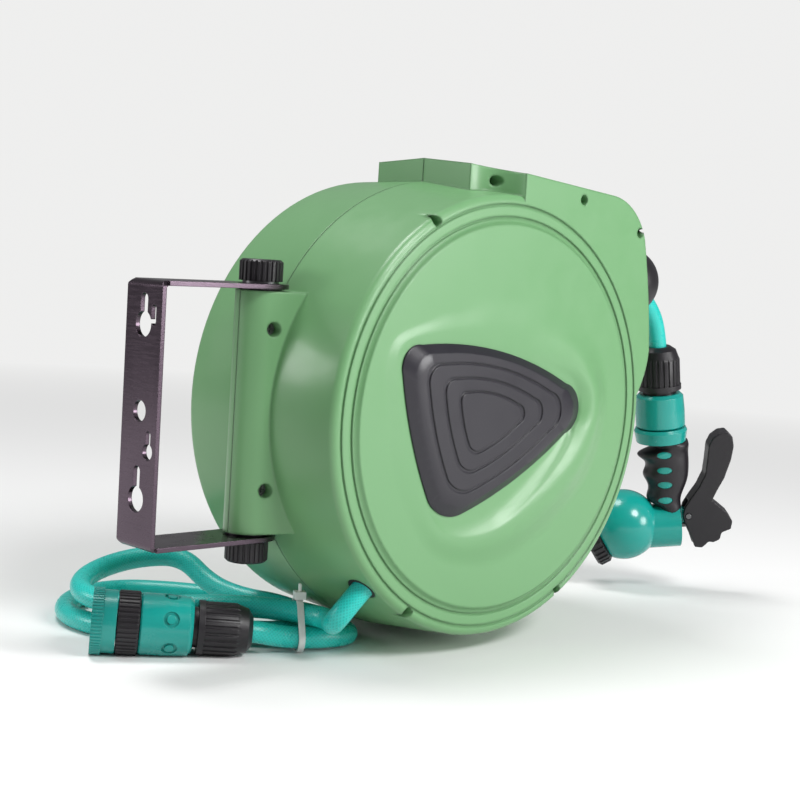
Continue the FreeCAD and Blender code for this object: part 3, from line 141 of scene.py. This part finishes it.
def moulded_skin_group():
    """Fine moulded grain, slow colour drift and handling marks of plastic."""
    tree, entry, leave = new_group(
        "moulded_skin",
        [("Vector", "NodeSocketVector", None), ("Base", "NodeSocketColor", None),
         ("Drift", "NodeSocketFloat", 0.06), ("Roughness", "NodeSocketFloat", 0.4),
         ("Grain", "NodeSocketFloat", 900.0)],
        [("Color", "NodeSocketColor"), ("Roughness", "NodeSocketFloat"), ("Height", "NodeSocketFloat")])
    slow = noise(tree, entry.outputs["Vector"], 9.0, 4.0)
    marks = noise(tree, entry.outputs["Vector"], 55.0, 6.0, 0.65)
    grain = tree.nodes.new("ShaderNodeTexNoise")
    grain.inputs["Detail"].default_value = 2.0
    tree.links.new(entry.outputs["Vector"], grain.inputs["Vector"])
    tree.links.new(entry.outputs["Grain"], grain.inputs["Scale"])
    shade = math_node(tree, "MULTIPLY", math_node(tree, "SUBTRACT", slow, 0.5), entry.outputs["Drift"])
    level = math_node(tree, "ADD", shade, 1.0)
    scaled = tree.nodes.new("ShaderNodeVectorMath")
    scaled.operation = "SCALE"
    tree.links.new(entry.outputs["Base"], scaled.inputs[0])
    tree.links.new(level, scaled.inputs["Scale"])
    tree.links.new(scaled.outputs[0], leave.inputs["Color"])
    rub = map_range(tree, marks, 0.35, 0.7, -0.05, 0.06)
    rough = math_node(tree, "ADD", entry.outputs["Roughness"], rub, clamp=True)
    tree.links.new(rough, leave.inputs["Roughness"])
    tree.links.new(grain.outputs["Fac"], leave.inputs["Height"])
    return tree


moulded_skin = moulded_skin_group()


def start_material(name):
    material = bpy.data.materials.new(name)
    material.use_nodes = True
    tree = material.node_tree
    shader = tree.nodes["Principled BSDF"]
    return material, tree, shader


def object_place(tree):
    return tree.nodes.new("ShaderNodeTexCoord").outputs["Object"]


def add_bump(tree, shader, height, distance, strength=1.0, edge=0.0):
    bump = tree.nodes.new("ShaderNodeBump")
    bump.inputs["Distance"].default_value = distance
    bump.inputs["Strength"].default_value = strength
    tree.links.new(height, bump.inputs["Height"])
    if edge > 0:
        soft = tree.nodes.new("ShaderNodeBevel")
        soft.samples = 4
        soft.inputs["Radius"].default_value = edge
        tree.links.new(soft.outputs["Normal"], bump.inputs["Normal"])
    tree.links.new(bump.outputs["Normal"], shader.inputs["Normal"])


def parting_line(tree, height, width=0.00035):
    """The height with a fine groove along the plane where the two shells meet."""
    split = tree.nodes.new("ShaderNodeSeparateXYZ")
    tree.links.new(object_place(tree), split.inputs["Vector"])
    off = math_node(tree, "ABSOLUTE", split.outputs["Y"])
    level = map_range(tree, off, width * 0.4, width, 0.0, 1.0)
    fine = math_node(tree, "MULTIPLY", height, 0.10)
    return math_node(tree, "ADD", math_node(tree, "MULTIPLY", level, 0.9), fine), level


def plastic(name, colour, roughness, grain=900.0, grain_depth=0.00006, drift=0.08, edge=0.0006, coat=0.0,
            parted=False):
    material, tree, shader = start_material(name)
    skin = tree.nodes.new("ShaderNodeGroup")
    skin.node_tree = moulded_skin
    skin.inputs["Base"].default_value = (*colour, 1)
    skin.inputs["Drift"].default_value = drift
    skin.inputs["Roughness"].default_value = roughness
    skin.inputs["Grain"].default_value = grain
    tree.links.new(object_place(tree), skin.inputs["Vector"])
    tree.links.new(skin.outputs["Roughness"], shader.inputs["Roughness"])
    if parted:
        height, level = parting_line(tree, skin.outputs["Height"])
        shade = tree.nodes.new("ShaderNodeVectorMath")
        shade.operation = "SCALE"
        tree.links.new(skin.outputs["Color"], shade.inputs[0])
        tree.links.new(map_range(tree, level, 0.0, 1.0, 0.45, 1.0), shade.inputs["Scale"])
        tree.links.new(shade.outputs[0], shader.inputs["Base Color"])
        add_bump(tree, shader, height, grain_depth * 10, 1.0, edge)
    else:
        tree.links.new(skin.outputs["Color"], shader.inputs["Base Color"])
        add_bump(tree, shader, skin.outputs["Height"], grain_depth, 1.0, edge)
    shader.inputs["Specular IOR Level"].default_value = 0.5
    shader.inputs["Coat Weight"].default_value = coat
    shader.inputs["Coat Roughness"].default_value = 0.12
    return material


def metal(name, colour, roughness, streak=(1.0, 1.0, 14.0), edge=0.0004):
    """Plated metal with fine rolling marks along the piece."""
    material, tree, shader = start_material(name)
    shader.inputs["Metallic"].default_value = 1.0
    mapping = tree.nodes.new("ShaderNodeMapping")
    mapping.inputs["Scale"].default_value = streak
    tree.links.new(object_place(tree), mapping.inputs["Vector"])
    marks = noise(tree, mapping.outputs["Vector"], 60.0, 5.0, 0.6)
    cloud = noise(tree, object_place(tree), 18.0, 3.0)
    blend = tree.nodes.new("ShaderNodeMix")
    blend.data_type = "RGBA"
    blend.inputs["A"].default_value = (*[0.80 * c for c in colour], 1)
    blend.inputs["B"].default_value = (*[min(1.0, 1.22 * c) for c in colour], 1)
    tree.links.new(cloud, blend.inputs["Factor"])
    tree.links.new(blend.outputs["Result"], shader.inputs["Base Color"])
    rough = map_range(tree, marks, 0.3, 0.7, roughness * 0.75, roughness * 1.35)
    tree.links.new(rough, shader.inputs["Roughness"])
    add_bump(tree, shader, marks, 0.00002, 0.6, edge)
    return material


def braided_hose(name, colour):
    """Clear-skinned vinyl with a diamond net of threads under it, laid by the tube's own map."""
    material, tree, shader = start_material(name)
    uv = tree.nodes.new("ShaderNodeUVMap")
    uv.uv_map = "lay"
    split = tree.nodes.new("ShaderNodeSeparateXYZ")
    tree.links.new(uv.outputs["UV"], split.inputs["Vector"])
    around = math_node(tree, "MULTIPLY", split.outputs["X"], 18.0)
    along = math_node(tree, "MULTIPLY", split.outputs["Y"], 1.0 / 0.0026)
    threads = []
    for sign in (1.0, -1.0):
        lean = math_node(tree, "ADD", around, math_node(tree, "MULTIPLY", along, sign))
        wave = math_node(tree, "FRACT", lean)
        off = math_node(tree, "ABSOLUTE", math_node(tree, "SUBTRACT", wave, 0.5))
        threads.append(map_range(tree, off, 0.18, 0.40, 0.0, 1.0))
    net = math_node(tree, "MAXIMUM", threads[0], threads[1], clamp=True)
    mottle = noise(tree, object_place(tree), 160.0, 4.0)
    light = tree.nodes.new("ShaderNodeMix")
    light.data_type = "RGBA"
    light.inputs["A"].default_value = (*[0.78 * c for c in colour], 1)
    light.inputs["B"].default_value = (*[0.98 * c for c in colour], 1)
    tree.links.new(mottle, light.inputs["Factor"])
    mixed = tree.nodes.new("ShaderNodeMix")
    mixed.data_type = "RGBA"
    mixed.inputs["B"].default_value = (0.03, 0.66, 0.60, 1)
    tree.links.new(math_node(tree, "MULTIPLY", net, 0.62), mixed.inputs["Factor"])
    tree.links.new(light.outputs["Result"], mixed.inputs["A"])
    tree.links.new(mixed.outputs["Result"], shader.inputs["Base Color"])
    rough = map_range(tree, mottle, 0.3, 0.7, 0.24, 0.36)
    tree.links.new(rough, shader.inputs["Roughness"])
    add_bump(tree, shader, net, 0.00012, 0.6)
    shader.inputs["Coat Weight"].default_value = 0.12
    shader.inputs["Coat Roughness"].default_value = 0.2
    return material


materials = {
    "green_plastic": plastic("case_green", green, 0.34, 1100.0, 0.00003, 0.05, 0.0024, 0.12, True),
    "teal_plastic": plastic("fitting_teal", teal, 0.24, 1300.0, 0.00002, 0.08, 0.0007, 0.20),
    "black_plastic": plastic("fitting_black", black, 0.40, 1400.0, 0.00005, 0.2, 0.0006),
    "hose_vinyl": plastic("hose_plain", hose_teal, 0.30, 600.0, 0.00003, 0.1, 0.0),
    "bracket_steel": metal("bracket_plating", plate_dark, 0.24, (1.0, 1.0, 14.0), 0.0007),
    "zinc_steel": metal("zinc", (0.16, 0.16, 0.165), 0.34),
    "white_nylon": plastic("tie_nylon", (0.80, 0.80, 0.78), 0.35, 700.0, 0.00002, 0.04, 0.0003),
    "bearing_bronze": metal("bronze", (0.62, 0.42, 0.20), 0.35),
    "seal_rubber": plastic("seal_rubber", (0.012, 0.012, 0.012), 0.7, 500.0, 0.00008, 0.2, 0.0),
}
braid = braided_hose("hose_braid", hose_teal)
badge_skin = plastic("badge_satin", badge_black, 0.36, 1500.0, 0.00004, 0.15, 0.0016, 0.10)


# Pieces

def finish_piece(piece, body, slot_name, *nodes):
    """Puts a piece on its body and hides the nodes that it stands for."""
    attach(piece, body)
    if nodes:
        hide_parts(*nodes)
    return piece


def mesh_piece(name, mesh, material):
    piece = bpy.data.objects.new(name, mesh)
    bpy.context.scene.collection.objects.link(piece)
    mesh.materials.clear()
    mesh.materials.append(material)
    return piece


def smooth_by_angle(mesh, degrees):
    """Smooth shading with sharp edges where the faces meet at more than the angle."""
    mesh.polygons.foreach_set("use_smooth", [True] * len(mesh.polygons))
    mesh.set_sharp_from_angle(angle=math.radians(degrees))


def dressed_copy(node, name, material, degrees=32.0):
    """A merged copy of a CAD node with smooth shading."""
    mesh = frame["nodes"][node].data.copy()
    mesh.name = name
    work = bmesh.new()
    work.from_mesh(mesh)
    bmesh.ops.remove_doubles(work, verts=work.verts, dist=2e-6)
    bmesh.ops.dissolve_degenerate(work, edges=work.edges, dist=1e-6)
    work.to_mesh(mesh)
    work.free()
    if "custom_normal" in mesh.attributes:
        mesh.attributes.remove(mesh.attributes["custom_normal"])
    smooth_by_angle(mesh, degrees)
    return mesh_piece(name, mesh, material)


node_body = {node: body for body, nodes in frame["record"]["behaviour"]["bodies"].items() for node in nodes}
node_slot = {entry["node"]: entry["material_slot"] for entry in frame["record"]["subparts"]}
cords = ("supply_hose", "outlet_hose")
seen_nodes = [
    "rear_case", "badge_plate", "wall_bracket", "upper_pivot_knob", "lower_pivot_knob",
    "knob_washers", "thrust_washers", "hose_guide", "stop_ball", "supply_hose_nut", "supply_connector",
    "supply_sleeve", "supply_grip_ring", "tap_adapter", "outlet_hose_nut", "outlet_connector",
    "outlet_sleeve", "gun_inlet", "gun_body", "gun_grip", "nozzle_dial", "trigger", "trigger_pin",
    "cable_tie", "case_screws", "column_screws", "inlet_gland", "valve_rod"]

for node, thing in frame["nodes"].items():
    thing.data.materials.clear()
    thing.data.materials.append(materials[node_slot[node]])

def soften(piece, voxel, rounds):
    """The piece remade in small even faces and smoothed, so its edges are round as moulded."""
    remesh = piece.modifiers.new("remesh", "REMESH")
    remesh.mode = "VOXEL"
    remesh.voxel_size = voxel
    smooth = piece.modifiers.new("smooth", "SMOOTH")
    smooth.factor = 0.5
    smooth.iterations = rounds
    bpy.context.view_layer.update()
    depsgraph = bpy.context.evaluated_depsgraph_get()
    mesh = bpy.data.meshes.new_from_object(piece.evaluated_get(depsgraph))
    piece.modifiers.clear()
    mesh.name = piece.data.name
    piece.data = mesh
    mesh.polygons.foreach_set("use_smooth", [True] * len(mesh.polygons))


own_finish = {"badge_plate": badge_skin, "gun_inlet": materials["teal_plastic"]}
own_slot = {"gun_inlet": "teal_plastic"}

for node in seen_nodes:
    piece = dressed_copy(node, node + "_skin", own_finish.get(node, materials[node_slot[node]]))
    if node == "trigger":
        soften(piece, 0.0006, 12)
    finish_piece(piece, node_body[node], own_slot.get(node, node_slot[node]), node)


# Front shell: the panel with its scoop under the badge and the soft hill beside it

def arc_points(first, middle, last, count):
    """Points along the circle through three points, clockwise, without the last."""
    ax, ay = first
    bx, by = middle
    cx, cy = last
    fold = 2 * (ax * (by - cy) + bx * (cy - ay) + cx * (ay - by))
    a2, b2, c2 = ax * ax + ay * ay, bx * bx + by * by, cx * cx + cy * cy
    ux = (a2 * (by - cy) + b2 * (cy - ay) + c2 * (ay - by)) / fold
    uy = (a2 * (cx - bx) + b2 * (ax - cx) + c2 * (bx - ax)) / fold
    radius = math.hypot(ax - ux, ay - uy)
    start = math.atan2(ay - uy, ax - ux)
    sweep = (start - math.atan2(cy - uy, cx - ux)) % (2 * math.pi)
    angles = [start - sweep * k / count for k in range(count)]
    return [(ux + radius * math.cos(angle), uy + radius * math.sin(angle)) for angle in angles]


def polar_table(rows, angle):
    """Values at an angle in degrees, from rows in order of angle, closed and eased between rows."""
    angle = (angle + 180.0) % 360.0 - 180.0
    after = next((k for k, row in enumerate(rows) if row[0] > angle), 0)
    low, high = rows[after - 1], rows[after]
    span = (high[0] - low[0]) % 360.0 or 360.0
    share = ((angle - low[0]) % 360.0) / span
    return [a + (b - a) * share for a, b in zip(low[1:], high[1:])]


def eased_rows(rows, angle, reach=5.0):
    """The table averaged over a small turn each way, so its rows leave no kinks."""
    steps = [polar_table(rows, angle + reach * k / 4.0) for k in range(-4, 5)]
    return [sum(step[k] for step in steps) / len(steps) for k in range(len(steps[0]))]


def badge_rows():
    """The badge's outline as rows of angle and distance about its middle."""
    rows = []
    for k, (start, middle) in enumerate(badge_arcs):
        last = badge_arcs[(k + 1) % len(badge_arcs)][0]
        for x, z in arc_points(start, middle, last, 24):
            x -= badge_middle[0]
            z -= badge_middle[1]
            rows.append((math.degrees(math.atan2(z, x)), math.hypot(x, z)))
    return sorted(rows)


def panel_column(stops, edge_rise, crest_rise):
    """Distance and rise of each ring in one direction, from under the badge out to the rim."""
    column = []
    for part, count in enumerate(panel_parts):
        for k in range(count):
            share = k / count
            rises = (pocket_rise + (edge_rise - pocket_rise) * share ** scoop_curve,
                     edge_rise + (crest_rise - edge_rise) * math.sin(math.pi / 2 * share),
                     crest_rise * (1 + math.cos(math.pi * share)) / 2,
                     0.0)
            column.append((stops[part] + (stops[part + 1] - stops[part]) * share, rises[part]))
    return column + [(stops[-1], 0.0), (stops[-1], -skirt_depth)]


def panel_stops(outline, angle, across, up):
    """Where the scoop, the lip, the crest, the foot and the rim lie in one direction, and two rises."""
    edge, edge_rise, crest, crest_rise, foot = eased_rows(hill_rows, angle)
    inner = polar_table(outline, angle)[0] - pocket_inset
    edge = max(edge, inner + 3.2)
    crest = max(crest, edge + 2.5)
    foot = max(foot, crest + 8.0)
    reach = badge_middle[0] * across + badge_middle[1] * up
    off = badge_middle[0] ** 2 + badge_middle[1] ** 2
    rim = -reach + math.sqrt(reach * reach - off + (1000 * panel_edge) ** 2)
    return (inner, edge, crest, min(foot, rim - 1.0), rim), edge_rise, crest_rise


def add_panel(work):
    """Rings from under the badge out to the panel's rim, with the scoop and the hill."""
    outline = badge_rows()
    columns = []
    for turn in range(panel_turns):
        angle = 360.0 * turn / panel_turns - 180.0
        across = math.cos(math.radians(angle))
        up = math.sin(math.radians(angle))
        stops, edge_rise, crest_rise = panel_stops(outline, angle, across, up)
        column = []
        for distance, rise in panel_column(stops, edge_rise, crest_rise):
            x = drum_centre.x + (badge_middle[0] + distance * across) / 1000
            z = (badge_middle[1] + distance * up) / 1000
            column.append(work.verts.new((x, panel_front - rise / 1000, z)))
        columns.append(column)
    for turn in range(panel_turns):
        this, following = columns[turn], columns[(turn + 1) % panel_turns]
        for k in range(len(this) - 1):
            work.faces.new((this[k], this[k + 1], following[k + 1], following[k]))
    work.faces.new([column[0] for column in columns])


def on_panel(vertex):
    """Whether a point of the shell lies on the flat panel or on what rises from it."""
    from_axis = math.hypot(vertex.co.x - drum_centre.x, vertex.co.z)
    return vertex.co.y < panel_front + 0.0001 and from_axis < panel_edge + 0.0003


def front_shell():
    """The front shell, with its panel made anew."""
    piece = dressed_copy("front_case", "front_case_skin", materials["green_plastic"])
    mesh = piece.data
    work = bmesh.new()
    work.from_mesh(mesh)
    plain = [face for face in work.faces if all(on_panel(vertex) for vertex in face.verts)]
    bmesh.ops.delete(work, geom=plain, context="FACES")
    before = set(work.faces)
    add_panel(work)
    fresh = [face for face in work.faces if face not in before]
    bmesh.ops.triangulate(work, faces=[face for face in fresh if len(face.verts) > 4])
    for face in work.faces:
        if face not in before:
            face.normal_update()
            if face.normal.y > 0.02:
                face.normal_flip()
    work.to_mesh(mesh)
    work.free()
    smooth_by_angle(mesh, 30.0)
    return piece


finish_piece(front_shell(), node_body["front_case"], "green_plastic", "front_case")


# Hoses

def spline_line(points, name, finer=24):
    """The points along a NURBS spline that has the given ones as its control points."""
    curve = bpy.data.curves.new(name, "CURVE")
    curve.dimensions = "3D"
    curve.resolution_u = finer
    spline = curve.splines.new("NURBS")
    spline.points.add(len(points) - 1)
    for point, place in zip(spline.points, points):
        point.co = (*place, 1.0)
    spline.order_u = 3
    spline.use_endpoint_u = True
    holder = bpy.data.objects.new(name, curve)
    bpy.context.scene.collection.objects.link(holder)
    bpy.context.view_layer.update()
    line = bpy.data.meshes.new_from_object(holder.evaluated_get(bpy.context.evaluated_depsgraph_get()))
    places = [vertex.co.copy() for vertex in line.vertices]
    bpy.data.objects.remove(holder)
    bpy.data.meshes.remove(line)
    return places


def even_line(places, step):
    """The same line cut into steps of about one length."""
    distances = [0.0]
    for first, second in zip(places, places[1:]):
        distances.append(distances[-1] + (second - first).length)
    count = max(2, round(distances[-1] / step))
    even = []
    index = 0
    for k in range(count + 1):
        target = distances[-1] * k / count
        while index < len(places) - 2 and distances[index + 1] < target:
            index += 1
        span = distances[index + 1] - distances[index]
        share = (target - distances[index]) / span if span > 0 else 0.0
        even.append(places[index].lerp(places[index + 1], min(1.0, max(0.0, share))))
    return even, distances[-1]


def hose_tube(name, points):
    """A hose swept along its line, with a map of turns around and metres along."""
    line, length = even_line(spline_line(points, name + "_line"), hose_step)
    mesh = bpy.data.meshes.new(name)
    work = bmesh.new()
    lay = work.loops.layers.uv.new("lay")
    side = None
    rings = []
    for k, place in enumerate(line):
        before = line[max(0, k - 1)]
        after = line[min(len(line) - 1, k + 1)]
        along = (after - before).normalized()
        if side is None:
            side = along.orthogonal().normalized()
        side = (side - along * side.dot(along)).normalized()
        other = along.cross(side)
        ring = []
        for turn in range(hose_sides):
            angle = 2 * math.pi * turn / hose_sides
            out = side * math.cos(angle) + other * math.sin(angle)
            ring.append(work.verts.new(place + out * hose_radius))
        rings.append(ring)
    for k in range(len(rings) - 1):
        for turn in range(hose_sides):
            corners = (rings[k][turn], rings[k][(turn + 1) % hose_sides],
                       rings[k + 1][(turn + 1) % hose_sides], rings[k + 1][turn])
            face = work.faces.new(corners)
            shares = ((turn, k), (turn + 1, k), (turn + 1, k + 1), (turn, k + 1))
            for loop, (around, row) in zip(face.loops, shares):
                loop[lay].uv = (around / hose_sides, row * length / (len(rings) - 1))
            face.smooth = True
    work.faces.new(list(reversed(rings[0])))
    work.faces.new(rings[-1])
    bmesh.ops.recalc_face_normals(work, faces=work.faces)
    work.to_mesh(mesh)
    work.free()
    return mesh_piece(name, mesh, braid), line, length


# The supply hose: out of the gland, through the tie, round two loops and into its nut
supply_route = [
    (0.1468, -0.0561, -0.1006), (0.136, -0.054, -0.111), (0.123, -0.045, -0.133), (0.145, -0.022, -0.137),
    (0.134, 0.005, -0.135), (0.116, 0.028, -0.135), (0.092, 0.046, -0.135), (0.068, 0.062, -0.137),
    (0.045, 0.080, -0.137), (0.036, 0.109, -0.135), (0.050, 0.135, -0.132), (0.077, 0.148, -0.127),
    (0.106, 0.145, -0.122), (0.130, 0.127, -0.120), (0.137, 0.103, -0.137), (0.145, 0.076, -0.142),
    (0.160, 0.050, -0.143), (0.163, 0.021, -0.147), (0.136, 0.006, -0.150), (0.112, 0.026, -0.151),
    (0.090, 0.044, -0.152), (0.067, 0.063, -0.1528), (0.044, 0.081, -0.1528), (0.036, 0.110, -0.1528),
    (0.041, 0.139, -0.1528), (0.059, 0.162, -0.1528), (0.085, 0.177, -0.1528), (0.115, 0.177, -0.1528),
    (0.138, 0.158, -0.1528), (0.156, 0.136, -0.1528), (0.170, 0.110, -0.1528), (0.177, 0.081, -0.1528),
    (0.176, 0.052, -0.1528), (0.175, 0.023, -0.1528), (0.177, -0.008, -0.1528), (0.148, -0.013, -0.151),
    (0.121, -0.002, -0.150), (0.097, 0.003, -0.1436), (0.083, 0.0126, -0.1429)]
supply_tube, supply_line, supply_length = hose_tube("supply_hose_braided", supply_route)
finish_piece(supply_tube, "case", "hose_vinyl", "supply_hose")

# The outlet hose: out of the guide, through the stop ball and down to the gun
outlet_route = [
    (0.390, 0.0, 0.1045), (0.423, 0.0, 0.09913), (0.454, 0.0, 0.090), (0.479, 0.0, 0.076),
    (0.4947, 0.0, 0.055), (0.5003, 0.0, 0.0233)]
outlet_tube, outlet_line, outlet_length = hose_tube("outlet_hose_braided", outlet_route)
finish_piece(outlet_tube, "case", "hose_vinyl", "outlet_hose")


# Stage, lights and camera

def stage_material():
    """Pale matt floor that blends, away from the object, into the pale room behind it."""
    material, tree, shader = start_material("pale_stage")
    shader.inputs["Base Color"].default_value = (*pale, 1)
    shader.inputs["Roughness"].default_value = 0.9
    shader.inputs["Specular IOR Level"].default_value = 0.1
    glow = tree.nodes.new("ShaderNodeEmission")
    glow.inputs["Color"].default_value = (*pale, 1)
    span = tree.nodes.new("ShaderNodeVectorMath")
    span.operation = "LENGTH"
    tree.links.new(object_place(tree), span.inputs[0])
    far = map_range(tree, span.outputs["Value"], 0.55, 2.2, 0.0, 1.0)
    path = tree.nodes.new("ShaderNodeLightPath")
    share = math_node(tree, "MULTIPLY", far, path.outputs["Is Camera Ray"], clamp=True)
    blend = tree.nodes.new("ShaderNodeMixShader")
    tree.links.new(share, blend.inputs["Fac"])
    tree.links.new(shader.outputs[0], blend.inputs[1])
    tree.links.new(glow.outputs[0], blend.inputs[2])
    tree.links.new(blend.outputs[0], tree.nodes["Material Output"].inputs["Surface"])
    return material


def add_stage():
    """A wide plain floor under the object."""
    mesh = bpy.data.meshes.new("floor")
    work = bmesh.new()
    bmesh.ops.create_grid(work, x_segments=2, y_segments=2, size=9.0,
                          matrix=Matrix.Translation((drum_centre.x, 0.0, floor_height)))
    work.to_mesh(mesh)
    work.free()
    floor = mesh_piece("floor", mesh, stage_material())


def add_area_light(name, place, aim, size, power, colour=(1, 1, 1)):
    lamp = bpy.data.lights.new(name, "AREA")
    lamp.shape = "DISK"
    lamp.size = size
    lamp.energy = power
    lamp.color = colour
    holder = bpy.data.objects.new(name, lamp)
    bpy.context.scene.collection.objects.link(holder)
    direction = Vector(aim) - Vector(place)
    holder.location = place
    holder.rotation_euler = direction.to_track_quat("-Z", "Y").to_euler()


def add_world():
    world = bpy.data.worlds.new("pale_room")
    world.use_nodes = True
    tree = world.node_tree
    background = tree.nodes["Background"]
    background.inputs["Color"].default_value = (0.90, 0.91, 0.93, 1)
    background.inputs["Strength"].default_value = 0.26
    bright = tree.nodes.new("ShaderNodeBackground")
    bright.inputs["Color"].default_value = (*pale, 1)
    bright.inputs["Strength"].default_value = 1.0
    path = tree.nodes.new("ShaderNodeLightPath")
    choose = tree.nodes.new("ShaderNodeMixShader")
    tree.links.new(path.outputs["Is Camera Ray"], choose.inputs["Fac"])
    tree.links.new(background.outputs[0], choose.inputs[1])
    tree.links.new(bright.outputs[0], choose.inputs[2])
    tree.links.new(choose.outputs[0], tree.nodes["World Output"].inputs["Surface"])
    bpy.context.scene.world = world


def add_camera():
    """The photograph's view: direction, distance and framing."""
    azimuth, elevation, roll = (math.radians(angle) for angle in view_angles)
    back = Vector((math.sin(azimuth) * math.cos(elevation), -math.cos(azimuth) * math.cos(elevation),
                   math.sin(elevation)))
    right = Vector((0, 0, 1)).cross(back).normalized()
    up = back.cross(right)
    tilted_right = right * math.cos(roll) + up * math.sin(roll)
    tilted_up = up * math.cos(roll) - right * math.sin(roll)
    eye = drum_centre + tilted_right * view_offset[0] + tilted_up * view_offset[1] + back * view_distance
    camera = bpy.data.cameras.new("camera")
    camera.lens = view_lens
    camera.sensor_width = 36.0
    camera.clip_start = 0.05
    holder = bpy.data.objects.new("camera", camera)
    bpy.context.scene.collection.objects.link(holder)
    turn = Matrix((tilted_right, tilted_up, back)).transposed().to_4x4()
    holder.matrix_world = Matrix.Translation(eye) @ turn
    bpy.context.scene.camera = holder


add_stage()
add_world()
add_area_light("key", (0.35, -1.7, 1.5), (0.25, 0.0, 0.0), 0.8, 34.0)
add_area_light("panel_box", (0.95, -1.30, 0.30), (0.22, -0.07, 0.03), 0.55, 9.0)
add_area_light("top", (-0.1, 0.5, 1.9), (0.2, 0.0, 0.0), 0.9, 22.0)
add_area_light("rim", (-1.2, 0.9, 0.5), (0.1, 0.0, 0.0), 0.6, 7.0)
add_camera()
bpy.context.scene.view_settings.view_transform = "Standard"
